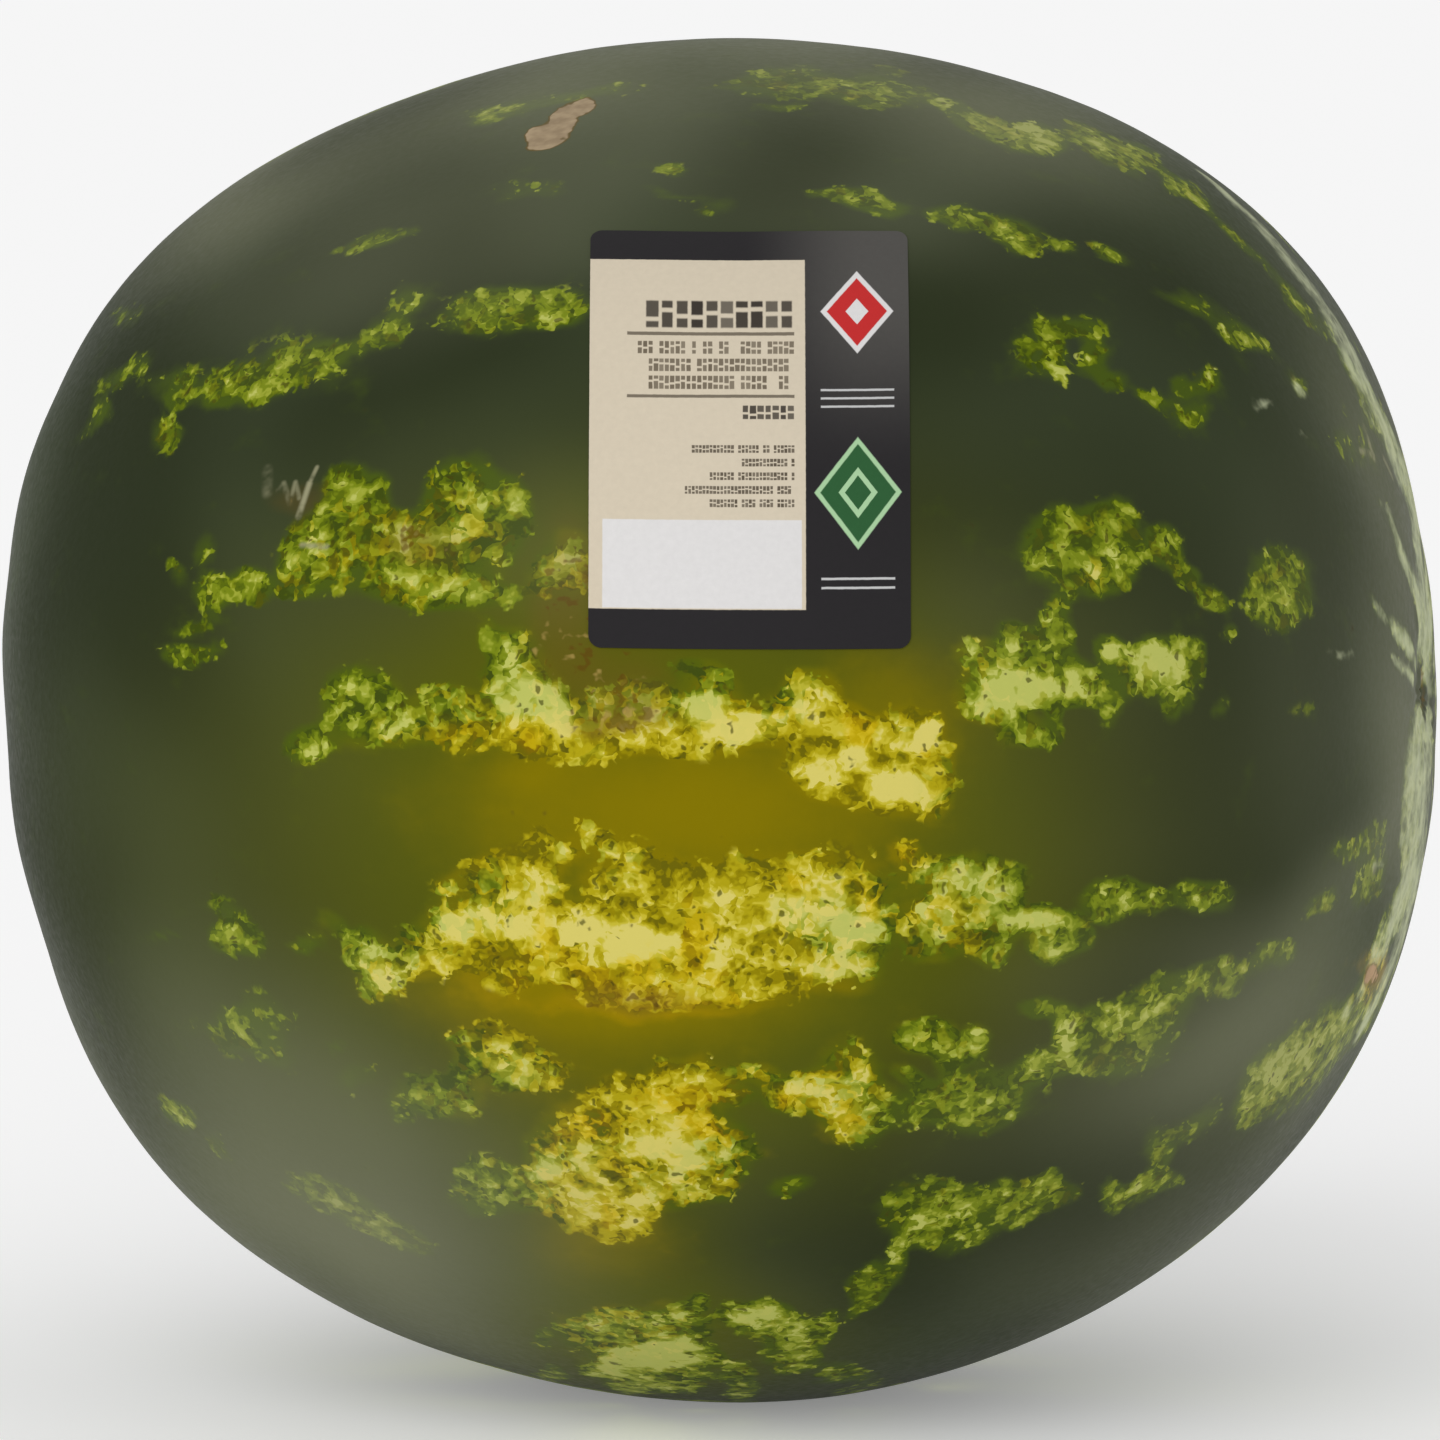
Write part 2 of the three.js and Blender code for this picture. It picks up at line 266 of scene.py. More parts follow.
MAIN_BAND = (
    (-25, -20, 2, 1.5, 0, 0.66, 0.56),
    (-22, -23, 2, 1.5, -50, 0.47, 0.37),
    (35.5, -24, 2.5, 2, 0, 0.7, 0.33),
    (-34, -22, 2.5, 2, -20, 0.75, 0.56),
    (-102, -40, 3.5, 1, 0, 0.28, 0.19),
    (-91.5, -35.5, 3.5, 1.5, -20, 0.23, 0.09),
    (-89, -41, 4, 3, -10, 0.7, 0.47),
    (-77.5, -41.5, 2.5, 1.5, 10, 0.56, 0.47),
    (-72.5, -38, 3, 1.5, -10, 0.33, 0.23),
    (-66, -42, 3.5, 3, 0, 0.89, 0.79),
    (-63, -48, 3, 3.5, -30, 0.89, 0.84),
    (-53.5, -43.5, 8.5, 3, 3, 0.89, 0.65),
    (-45.5, -38, 10, 4, 8, 0.94, 0.93),
    (-35.5, -32, 6.5, 4, 12, 0.94, 0.79),
    (-32.5, -39, 5, 6.5, 0, 0.94, 0.74),
    (-25, -39.5, 5.5, 5, 0, 0.94, 0.93),
    (-14.5, -30, 8.5, 5, 0, 0.8, 0.33),
    (-14.5, -42.5, 9.5, 4, 3, 0.94, 0.88),
    (0, -39, 8, 7.5, 0, 0.94, 0.65),
    (14, -34.5, 7, 7.5, 0, 0.94, 0.7),
    (22.5, -36, 9.5, 9, 0, 0.94, 0.88),
    (44, -29.5, 10, 3, -3, 0.94, 0.84),
    (41, -37.5, 6, 4.2, 0, 0.92, 0.6),
    (38.5, -42.5, 3.5, 2, 0, 0.85, 0.33),
    (52, -36, 4.5, 4.2, 0, 1, 0.8),
    (59.5, -37, 5, 2, -14, 1, 0.95),
    (50, -41, 2.8, 3, 0, 0.88, 0.45),
    (60.5, -42.5, 2.5, 2, 0, 0.8, 0.6),
    (65.5, -39.5, 2.4, 3, 0, 0.85, 0.4),
    (72.5, -34, 5, 2.5, 0, 0.9, 0.4),
    (70.5, -36.5, 1.5, 1, 0, 0.8, 0.7),
    (80.5, -34.5, 3, 2, 0, 0.7, 0.3),
    (88.5, -33.5, 4.5, 2.5, 8, 0.65, 0.25),
    (92.5, -47.5, 6, 2.5, 15, 0.7, 0.4),
    (103, -43.5, 3.5, 2, 20, 0.6, 0.4),
    (111, -34.5, 4, 1.5, 35, 0.36, 0.2),
    (-38, -27.5, 11, 3, 18, 0.8, 0.37),
    (-29.5, -24, 5, 1.5, 25, 0.56, 0.28),
    (-29.5, -46, 11, 4, 5, 0.89, 0.6),
    (-14.5, -49.5, 12, 3.5, 0, 0.8, 0.47),
    (3, -47.5, 11, 5, 0, 0.94, 0.6),
    (17.5, -45.5, 9.5, 4.5, -5, 0.85, 0.51),
    (-5.5, -33.5, 7.5, 5.5, 0, 0.89, 0.56),
    (9.5, -29.5, 7.5, 5, 0, 0.89, 0.56),
)
LOWER_BAND = (
    (-86, -57.5, 8.5, 4.5, -15, 0.42, 0.2),
    (-72, -61.5, 2, 1.5, 0, 0.4, 0.4),
    (-68.5, -67, 5, 3, 0, 0.25, 0.12),
    (-48.5, -59.5, 3.5, 1.5, 0, 0.3, 0.15),
    (-39, -58, 4.5, 1.5, -15, 0.6, 0.45),
    (-38.5, -63.5, 8, 3, -15, 0.85, 0.75),
    (-52, -70, 7.5, 3.5, 10, 0.55, 0.25),
    (3.5, -69.5, 2, 1.5, 0, 0.5, 0.3),
    (13, -69.5, 5, 3.5, 0, 0.9, 0.7),
    (24, -69.5, 6.5, 7, 0, 0.95, 0.75),
    (38, -58.5, 4, 2.5, 0, 0.9, 0.6),
    (42, -62, 2.5, 3.5, 0, 0.85, 0.45),
    (35.5, -65.5, 2.5, 1.5, -30, 0.75, 0.6),
    (45, -71, 10.5, 4.5, 5, 0.85, 0.5),
    (47, -61, 2, 3, -50, 0.8, 0.65),
    (6.5, -64.5, 3.5, 2, 0, 0.85, 0.8),
    (59, -64.5, 6, 2, 15, 0.75, 0.5),
    (59.5, -53.5, 3.5, 2, 0, 0.7, 0.45),
    (63.5, -58.5, 2, 4.5, 0, 0.7, 0.45),
    (70, -57, 6, 3.5, 15, 0.9, 0.6),
    (68.5, -64, 6.5, 2, 8, 0.6, 0.45),
    (81, -52.5, 6.5, 3.5, 18, 0.65, 0.4),
    (-46.5, -65.5, 2.5, 5, -20, 0.6, 0.35),
    (-37, -66, 5.5, 2, -10, 0.7, 0.5),
    (74, -61, 13, 5, 14, 0.35, 0.2),
)
GOLDEN_CLUSTER = (
    (-100.5, -73, 3.5, 2, -40, 0.55, 0.3),
    (-91.5, -79.5, 3.5, 1, -50, 0.23, 0.09),
    (-43.5, -87, 5, 5, -30, 0.74, 0.54),
    (-35.5, -86, 4, 3, 0, 0.74, 0.54),
    (-12, -71, 12.5, 4, 8, 0.88, 0.54),
    (-6, -66, 5, 3, 0, 0.79, 0.45),
    (2.5, -69.5, 1.5, 1.5, 0, 0.56, 0.36),
    (-37.5, -85.5, 3.5, 3.5, 0, 0.56, 0.41),
    (-9, -79.5, 11.5, 6.5, 5, 0.93, 0.9),
    (-28.5, -82.5, 6, 8, 20, 0.93, 0.77),
    (-22, -91, 7, 4.5, -10, 0.88, 0.77),
    (-12, -88, 7.5, 3.5, 15, 0.84, 0.77),
    (0, -82.5, 2.5, 4.5, 0, 0.84, 0.63),
    (13.5, -86.5, 4.5, 1.5, 0, 0.51, 0.18),
    (12, -87.5, 1, 0.5, 0, 0.65, 0.63),
    (-68, -90.5, 10, 2.2, -25, 0.85, 0.45),
    (-59, -95, 5, 1.7, -18, 0.75, 0.45),
)
BOTTOM_BAND = (
    (104.5, -65, 7, 4, 42, 1, 0.95),
    (116, -56.5, 7, 3.5, 42, 0.95, 0.8),
    (80.5, -79.5, 3, 4, 30, 0.5, 0.35),
    (88, -75, 5, 2, 30, 0.35, 0.2),
    (79.5, -85.5, 5, 2, 10, 0.8, 0.6),
    (73, -87, 1.5, 2.5, 0, 0.6, 0.6),
    (56.5, -88.5, 8, 3, 8, 0.8, 0.55),
    (53.5, -93.5, 3.5, 1.5, 5, 0.6, 0.65),
    (62, -84, 1.5, 1.5, 0, 0.4, 0.5),
    (40, -92.5, 7.5, 5, 0, 0.95, 0.7),
    (47.5, -96, 2, 1, 0, 0.4, 0.4),
    (33, -101, 1.5, 3.5, -15, 0.63, 0.6),
    (27, -105.5, 3.5, 2, 38, 0.63, 0.45),
    (28, -107.5, 4.5, 1, 35, 0.53, 0.35),
    (104, -67, 8.5, 3.5, 42, 1, 0.8),
    (120.5, -30, 3.5, 5, 0, 0.34, 0.3),
    (119, -22.5, 5, 2, 35, 0.38, 0.3),
    (-22, -112.5, 6.5, 3.5, 0, 0.97, 0.78),
    (-18.5, -109.5, 3.5, 1.6, 0, 0.85, 0.3),
    (-12, -112.5, 8, 3.5, 0, 0.95, 0.5),
    (-4, -108.5, 2, 1.5, 0, 0.73, 0.2),
    (-10.5, -118, 8.5, 3, 3, 1, 0.95),
    (-1, -119.5, 3, 1.5, -30, 0.97, 0.85),
    (-21, -119, 3.5, 2.5, 0, 0.92, 0.8),
    (-14.5, -122.5, 4.5, 2, 5, 0.97, 0.6),
    (-7.5, -122, 4.5, 2, 0, 0.89, 0.4),
    (-30.5, -121.5, 2, 1.5, 0, 0.73, 0.5),
    (-32, -114.5, 1.5, 1.5, 0, 0.53, 0.3),
    (7, -111.5, 5, 2, -12, 1, 0.88),
    (13.5, -115.5, 5, 3.5, 0, 1, 0.8),
    (20, -112.5, 2, 2, 0, 0.89, 0.2),
    (4.5, -123, 2, 3, 0, 0.63, 0.4),
    (23, -121.5, 5.5, 2.5, 0, 0.42, 0.15),
)
FRONT_MARKS = (
    TOP_RIM + ABOVE_STICKER + UPPER_BAND + STICKER_BAND + MIDDLE_BAND
    + MAIN_BAND + LOWER_BAND + GOLDEN_CLUSTER + BOTTOM_BAND
)

# Streaks that run into the blossom end: light, pale and faded strengths, then a path of places in
# the front view, each with the streak's half width on the skin there, all in millimetres.
BLOSSOM_STREAKS = (
    (0.05, 0.2, 0.7, (90, 100.7, 2), (98, 93.4, 4.5), (107, 83.5, 5.5), (114.6, 71.8, 6),
     (121, 59.4, 5.5), (125.6, 46, 4)),
    (0.75, 0.6, 0.5, (116.4, 65.5, 3), (119.5, 60.3, 5), (123, 54.5, 6.5), (126.4, 46.8, 6.5),
     (128.4, 41.8, 6), (130.3, 33.2, 5.5), (131.2, 25, 5), (131.6, 17, 3.5), (130, 9, 2.2)),
    (0.2, 0.4, 0.65, (124.4, 54, 2.5), (127.2, 45, 4.5), (129.2, 35, 6), (130.2, 26, 6.5),
     (130.5, 18, 6), (130.8, 12, 4.5), (131.2, 6, 2.5)),
    (0.4, 0.5, 0.7, (121, 40.3, 1), (124.2, 37, 1.8), (125.5, 32.9, 2.2), (127.5, 28.2, 2.6),
     (128.9, 24, 3), (129.9, 19.7, 3.4), (129.5, 15, 2.6), (129, 9, 1.8)),
    (0.5, 0.7, 0.75, (121.6, 20.6, 1), (124.5, 18, 1.4), (126.4, 15.5, 1.7), (127.6, 12.9, 1.8),
     (128.5, 10.5, 1.6), (129, 8.5, 1.4)),
    (0.3, 0.6, 0.7, (124.9, 12.4, 1), (126.7, 9.7, 1.3), (128.4, 7.1, 1.3)),
    (0.6, 0.7, 0.65, (129.5, 3, 2), (129, -4, 5.5), (128.4, -12, 6.5), (127.8, -20, 5.5),
     (127.6, -28, 4.5)),
    (0.75, 0.75, 0.6, (128.2, -28, 4.5), (126.4, -34, 5.5), (123.6, -40, 5.5), (120.4, -46, 4),
     (116.5, -53, 3)),
    (0.2, 0.5, 0.65, (131.2, 0, 2.5), (130.9, -6, 6), (130.6, -13, 7.5), (130, -21, 7.5),
     (128.8, -30, 7), (126.6, -39, 6.5), (123.6, -47, 6), (119.6, -56, 4)),
)
# Small pale smudges near the blossom end.
PALE_SMUDGES = (
    (100.3, 57.7, 1.4, 1, -30, 0.6),
    (108.8, 53.2, 1, 0.8, 0, 0.4),
    (107.1, 60.6, 1.6, 0.8, -30, 0.4),
    (110.6, 42.7, 2, 0.6, -10, 0.4),
    (116.8, 11.8, 2.4, 1, -10, 0.4),
    (121.4, -27.6, 1, 1, 0, 0.5),
)

# Other colouring on the front: place, half length, half height, slope and strength.
GROUND_SPOT = (
    (-4, -17, 34, 13, 0, 0.85),
    (-20, -50, 32, 8, 0, 0.9),
    (0, -62, 34, 10, 0, 0.15),
    (-26, -64, 22, 12, 0, 0.28),
    (-22, -96, 13, 8, 0, 0.5),
    (32, 2, 17, 12, 0, 0.5),
    (-42, -16, 22, 16, 0, 0.2),
    (-34, -10, 6, 3.5, 0, 0.5),
)
WARM_AREA = (
    (-10, -24, 80, 58, 0, 0.85),
    (-4, -26, 46, 38, 0, 0.8),
    (-28, 27, 15, 15, 0, 0.45),
    (-24, -88, 18, 22, 0, 0.5),
    (-18, -108, 18, 12, 0, 0.5),
    (-6, -116, 28, 10, 0, 0.5),
)
# Grey veil: partly the rind's waxy bloom, partly painted sheen where the rims reflect the bright room.
BLOOM_AND_SHEEN = (
    (-74, -92, 40, 28, -32, 0.7),
    (-70, -110, 26, 14, -20, 0.45),
    (-98, -50, 22, 30, -30, 0.08),
    (-40, 118, 60, 15, 8, 0.75),
    (-62, 114, 28, 8, 25, 0.8),
    (-76, 96, 26, 14, 40, 0.35),
    (-84, 104, 25, 8, 40, 1),
    (42, 115, 30, 10, -18, 0.85),
    (115, 70, 11, 38, 34, 0.15),
    (104, -14, 34, 44, 0, 0.15),
    (98, -76, 34, 16, 40, 0.5),
    (74, -66, 28, 12, 18, 0.65),
    (82, -44, 24, 7, 12, 0.45),
    (66, -100, 20, 10, 20, 0.2),
    (128, 20, 7, 34, 0, 0.6),
    (134, 24, 6, 42, 0, 0.6),
    (124, 50, 6, 20, 25, 0.45),
    (118, 28, 14, 40, 0, 0.2),
    (16, 98, 26, 10, -10, 0.35),
    (56, 92, 30, 14, -12, 0.1),
    (-42, 91, 24, 12, 8, 0.42),
    (-60, 80, 20, 10, 20, 0.32),
    (92, -52, 20, 9, 20, 0.4),
    (-30, 33, 14, 12, 0, 0.15),
    (48, 22, 14, 10, 0, 0.12),
    (129, -22, 5, 22, 0, 0.5),
    (116, -28, 12, 5, 40, 0.3),
)
# Solid cream plates inside the patches.
CREAM = (
    (-35, 3.2, 4.8, 4.6, 0, 1),
    (-31.2, 0.6, 1.8, 4.8, 0, 0.9),
    (3.8, -1.4, 6, 2.8, 0, 1),
    (-3.4, 2.2, 3.4, 2.6, 0, 0.8),
    (16.6, 2.2, 3.6, 3.8, 0, 0.6),
    (33, -12.2, 5.4, 3, -15, 1),
    (25.3, -7.1, 3.2, 1.9, -20, 0.9),
    (38.2, -2.8, 1.5, 2.8, 0, 0.8),
    (19.4, -10.5, 2.6, 3, 0, 0.6),
    (-45.8, -38.1, 8.8, 2.2, 3, 0.9),
    (-35.1, -31, 5, 3, 0, 0.8),
    (-24.4, -40.3, 4, 2.8, 0, 1),
    (-15.5, -43, 7.8, 2.8, -3, 1),
    (12.7, -35.3, 3.6, 3.4, 0, 0.7),
    (23.2, -38.6, 7, 3, -8, 0.9),
    (19, -46.8, 6, 2.4, 0, 0.5),
    (1.8, -43, 2.2, 2, 0, 0.7),
    (43.6, -29.2, 9, 2.2, -3, 0.5),
    (52, -34.9, 3.6, 3.4, 0, 0.45),
    (59.4, -37.1, 3.8, 1.9, -12, 0.9),
    (-12.7, -78.6, 3.3, 2.4, 0, 0.9),
    (-7.1, -80.8, 2.6, 3.3, 0, 0.8),
    (-21.9, -79.5, 2.4, 2.8, 0, 0.7),
    (-14.4, -87.1, 2.4, 2.8, 0, 0.7),
    (-31.4, -83.1, 1.6, 2.4, 0, 0.8),
    (17.7, -68.6, 4, 2, 0, 0.3),
    (-6.4, -87.1, 2, 1.9, 0, 0.6),
    (6.6, -64.7, 3.2, 1.5, 0, 0.15),
    (55.3, 5.5, 9.4, 2.9, 0, 1),
    (50.5, 1.4, 4.8, 2.2, 0, 0.9),
    (72, 12.3, 2, 2.3, 0, 0.9),
    (80.5, 9.5, 5, 3.2, 0, 0.85),
    (-10.3, -117.9, 8.4, 2.8, 3, 1),
    (6.8, -111.3, 4, 1.8, -12, 0.7),
    (-20, -119, 2.5, 2.2, 0, 0.6),
    (56.5, 110, 5.5, 1.6, -16, 0.6),
    (-50, 25, 9, 2, -3, 0.4),
    (-39, -64, 5, 1.6, -12, 0.6),
)
GOLDEN = (
    (14, -29, 4.4, 2.2, 0, 1),
    (35, -24, 3, 2.5, 0, 1),
    (26.7, -34, 1.7, 3.4, 0, 0.8),
    (25.6, -2.2, 4.6, 3, 0, 1.2),
    (38, -5.8, 1.8, 1.8, 0, 1),
    (-36, -4.2, 4, 3, 0, 0.8),
    (18, -1.8, 2, 1.4, 0, 0.7),
    (20, -10.5, 4, 4, 0, 0.45),
    (31, -12, 9, 5, -15, 0.35),
    (-48, -4, 7, 4, 0, 0.5),
    (-14, -5, 5, 2.2, 0, 0.8),
    (-4, -42, 3.6, 7, 0, 0.95),
    (-32, -39.5, 3, 5, 0, 1.1),
    (0, -38, 12, 9, 0, 0.5),
    (-24, -44, 26, 10, 0, 0.5),
    (-20, -50, 24, 5, 0, 0.8),
    (-10, -52.5, 18, 3, 0, 1),
    (-8.6, -70, 12, 4, 8, 0.9),
    (-26.4, -74.7, 3.6, 3.2, 0, 1),
    (-3.6, -75.3, 5.2, 1.7, 0, 1.1),
    (-20.6, -91.8, 2.4, 2.8, 0, 0.9),
    (-14, -82, 19, 12, 0, 0.6),
    (12.1, -70.1, 2.2, 2.4, 0, 0.9),
    (22.3, -75.1, 4.4, 4.4, 0, 0.8),
    (20, -70, 9, 8, 0, 0.4),
    (69, 27, 2, 2, 0, 0.6),
    (-60, 32, 20, 11, 20, 0.32),
    (41, -38, 9, 6, 0, 0.35),
    (-29, 22, 6, 8, 0, 0.3),
    (-22, -113, 12, 6, 0, 0.1),
    (120.8, -46.5, 3.4, 4.5, 0, 1.2),
)
BROWNED = (
    (-18.6, -0.4, 9, 3, 0, 1),
    (-17.5, 4.5, 9, 3.6, 0, 0.6),
    (-20, 10, 14, 4, 0, 0.45),
    (-28, 25, 6, 13, 0, 0.6),
    (-28, 13, 7, 10, 0, 0.35),
    (-56, 33, 7, 5, 0, 0.75),
    (-78, 40, 5, 3, 0, 0.5),
    (-15, -52, 12, 2.5, 0, 0.7),
    (-8, -102, 8, 4, 0, 0.25),
)
CORKY_SCARS = (
    (-31.8, 108, 3.4, 1.7, 15, 1),
    (-27.4, 110.9, 4.7, 2.4, 44, 1),
    (-23.6, 113.4, 1.8, 1.8, 0, 0.9),
    (119.4, -46.5, 1.7, 2.7, -12, 0.66),
)
# Scratches: from one place in the front view to another, half width and strength.
SCRATCHES = (
    (-84, 46, -84, 42, 0.9, 0.35),
    (-82, 42.4, -81, 43.6, 0.45, 0.5),
    (-81, 43.6, -79.8, 40, 0.5, 0.6),
    (-79.8, 40, -78.8, 43.8, 0.45, 0.6),
    (-78.8, 43.8, -78.1, 41, 0.45, 0.5),
    (-74.8, 46.6, -76.2, 43.6, 0.4, 0.75),
    (-76.2, 43.6, -78.2, 37.6, 0.55, 0.95),
    (-77.6, 32.2, -73, 31.9, 0.5, 0.75),
    (119.5, 54, 121.2, 48.5, 0.7, 0.8),
    (118.7, 49.7, 121.2, 49, 0.6, 0.7),
    (123, 48.5, 124.6, 45, 0.6, 0.6),
    (121.4, -27.6, 121.4, -27.9, 0.8, 0.7),
)

# ---- bands on the far side ----

FIRST_FAR_TURN = math.radians(84)
FAR_TURN_SPACING = math.radians(16.6)
FAR_TURN_SHIFT = 0.05
FAR_BANDS = 13
FAR_SEED = 41
# Ends of a band's patches and of its streaks, in millimetres along the skin from the middle.
FAR_START = -112
FAR_END = 108
FAR_STREAK_END = 196
FAR_STEM_END = -188
# How far from the middle a band's width would come down to nothing.
FAR_NARROWING = 150
# What patches are drawn from, in millimetres and degrees; a cluster is a larger patch.
FIRST_PATCH_SHIFT = (0, 30)
BAND_FULLNESS = (0.75, 1.25)
CLUSTER_CHANCE = 0.16
CLUSTER_HALF_LENGTH = (8, 13)
CLUSTER_HALF_HEIGHT = (6, 9.5)
PATCH_HALF_LENGTH = (3, 10)
PATCH_HALF_HEIGHT = (2, 5.5)
PATCH_BESIDE = (-4, 4)
PATCH_STRENGTHS = (0.35, 0.6, 0.85, 0.95, 1.0)
PATCH_PALENESS = (0.3, 0.9)
PATCH_SLOPE = (-22, 22)
PATCH_CREAMINESS = (0, 0.9)
CREAMY_STRENGTH = 0.9
PATCH_STEP = (1.0, 2.4)
# Crumbs beside a patch: how many, how far beside and along, then half length, half height, slope,
# strength and paleness.
CRUMB_COUNTS = (0, 0, 1, 1, 2)
CRUMB_BESIDE = (4, 10)
CRUMB_ALONG = (-9, 9)
CRUMB_RANGES = ((1.5, 5), (1, 3.5), (-50, 50), (0.4, 0.9), (0.15, 0.6))
# Streaks past a band's two ends: their strength, how much of it is pale, how faded they are at the
# very end, and the step to the next. The ranges are for how far beside the band, half length, half
# height and slope.
BLOSSOM_STREAK_STRENGTH = (0.5, 0.85)
BLOSSOM_STREAK_PALENESS = (0.4, 0.9)
BLOSSOM_STREAK_FADING = (0.3, 0.8)
BLOSSOM_STREAK_STEP = (7, 14)
BLOSSOM_STREAK_RANGES = ((-1.2, 1.2), (6, 10), (0.9, 1.6), (-8, 8))
STEM_STREAK_STRENGTH = (0.1, 0.5)
STEM_STREAK_PALENESS = (0.3, 0.8)
STEM_STREAK_STEP = (6, 16)
STEM_STREAK_RANGES = ((-1.5, 1.5), (4, 9), (0.8, 2), (-10, 10))


def smooth_step(value, low, high):
    share = np.clip((value - low) / (high - low), 0, 1)
    return share * share * (3 - 2 * share)


# ---- the skin as a formula, round the body's own centre ----


def hollow(shape, distance):
    """Depth of a round hollow that meets the skin smoothly."""
    depth, radius = shape
    inside = np.clip(1 - (distance / radius) ** 2, 0, 1)
    return depth * inside ** 2


def lobe_height(angle, turn):
    near_ends = np.sin(2 * angle) ** 2 * (1 - LOBE_SHARE_AT_MIDDLE)
    near_middle = np.sin(angle) ** 2 * LOBE_SHARE_AT_MIDDLE
    return LOBE_DEPTH * (near_ends + near_middle) * np.sin(LOBES * turn)


def skin_radius(angle, turn):
    """Distance of the skin from the centre, before the axis sags."""
    along = np.cos(angle)
    across = np.sin(angle)
    share = 1 + sum(amount * np.cos(order * angle) for order, amount in FULLNESS.items())
    for order, amount in enumerate(TOP_LIFT):
        share = share + amount * np.sin(turn) * across * np.cos(order * angle)
    radius = share / np.hypot(along / HALF_LENGTH, across / HALF_WIDTH)
    from_axis = radius * across
    blossom = hollow(BLOSSOM_DIMPLE, from_axis) + hollow(BLOSSOM_SCAR, from_axis)
    hollows = np.where(along > 0, blossom, hollow(STEM_BASIN, from_axis))
    return radius + lobe_height(angle, turn) - hollows


def axis_rise(x):
    return AXIS_SAG * (x / HALF_LENGTH) ** 2


def polar(points):
    """Angle from the blossom end, turn round the axis and distance from the centre."""
    x = points[:, 0]
    height = points[:, 2] - axis_rise(x)
    from_axis = np.hypot(points[:, 1], height)
    return np.arctan2(from_axis, x), np.arctan2(height, -points[:, 1]), np.hypot(from_axis, x)


def skin_points(angle, turn, lift=0):
    radius = skin_radius(angle, turn) + lift
    x = radius * np.cos(angle)
    from_axis = radius * np.sin(angle)
    return np.stack((x, -from_axis * np.cos(turn), from_axis * np.sin(turn) + axis_rise(x)), axis=1)


SEARCH_STEPS = 40
SEARCH_REACH = 200 * MM


def onto_skin(start, direction):
    """Points where lines from inside the body meet the skin, found by halving."""
    near = np.zeros(len(start))
    far = np.full(len(start), SEARCH_REACH)
    for _ in range(SEARCH_STEPS):
        middle = (near + far) / 2
        angle, turn, radius = polar(start + middle[:, None] * direction)
        inside = radius < skin_radius(angle, turn)
        near = np.where(inside, middle, near)
        far = np.where(inside, far, middle)
    return start + near[:, None] * direction


def outward(points):
    """Outward direction of the plain ellipsoid, close to the skin's."""
    normals = points / np.array((HALF_LENGTH ** 2, HALF_WIDTH ** 2, HALF_WIDTH ** 2))
    return normals / np.linalg.norm(normals, axis=1, keepdims=True)


# ---- noise and numbers over a mesh ----

# noise_vector draws its offsets from this seed; without one, they change from run to run.
NOISE_SEED = 7
noise.seed_set(NOISE_SEED)


def noise_at(points, size, seed=0.0):
    """One smooth random number from about -1 to 1 at each point, with lumps of a given size."""
    shift = Vector((seed, seed * 2, seed * 3))
    return np.array([noise.noise(Vector(point) / size + shift) for point in points])


def noise_vectors_at(points, size, seed=0.0):
    shift = Vector((seed, seed * 2, seed * 3))
    return np.array([noise.noise_vector(Vector(point) / size + shift) for point in points])


def vertex_places(mesh):
    places = np.empty(len(mesh.vertices) * 3)
    mesh.vertices.foreach_get("co", places)
    return places.reshape(-1, 3)


def move_vertices(mesh, places):
    mesh.vertices.foreach_set("co", places.ravel())
    mesh.update()


def set_vertex_numbers(mesh, name, numbers):
    attribute = mesh.attributes.new(name, "FLOAT", "POINT")
    attribute.data.foreach_set("value", numbers.astype(np.float32))


def corner_vertices(mesh):
    corners = np.empty(len(mesh.loops), dtype=np.int32)
    mesh.loops.foreach_get("vertex_index", corners)
    return corners


def set_map(mesh, name, across, up):
    """Give a mesh a UV map from two numbers at each face corner."""
    layer = mesh.uv_layers.new(name=name)
    layer.data.foreach_set("uv", np.stack((across, up), axis=1).ravel())


EDGES = (False, True, False)
FACES = (False, False, True)


def select_by(kinds):
    bpy.context.tool_settings.mesh_select_mode = kinds


def new_primitive(add, name, **settings):
    bpy.ops.object.select_all(action="DESELECT")
    add(**settings)
    piece = bpy.context.object
    piece.name = name
    piece.data.name = name
    return piece


def edit(piece, *steps):
    """Run edit-mode steps on one piece, each with whatever the last one left selected."""
    bpy.context.view_layer.objects.active = piece
    bpy.ops.object.mode_set(mode="EDIT")
    for step in steps:
        step()
    bpy.ops.object.mode_set(mode="OBJECT")


def deselect(piece):
    edit(piece, lambda: bpy.ops.mesh.select_all(action="DESELECT"))


def face_outward(piece):
    edit(piece, lambda: bpy.ops.mesh.select_all(action="SELECT"),
         lambda: bpy.ops.mesh.normals_make_consistent(inside=False))


class Fit:
    """Carries points from round the body's centre onto a node of the CAD frame."""

    def __init__(self, points, node):
        low, high = (np.array(corner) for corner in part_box(node))
        own_low = points.min(axis=0)
        own_high = points.max(axis=0)
        self.scale = (high - low) / (own_high - own_low)
        self.shift = low - own_low * self.scale

    def __call__(self, points):
        return points * self.scale + self.shift


# ---- the rind ----

# The sides of a cube are cut in these numbers of pieces, one after the other.
CUBE_PIECES = (5, 25)
# Finer faces at the ends: the side of the cube and how far from the axis.
POLE_REFINED = ((1, 0.17), (-1, 0.24), (1, 0.07))
# A face whose centre lies this far out is on that side of the cube.
ON_SIDE = 0.999
CELL_MARGIN = 0.02

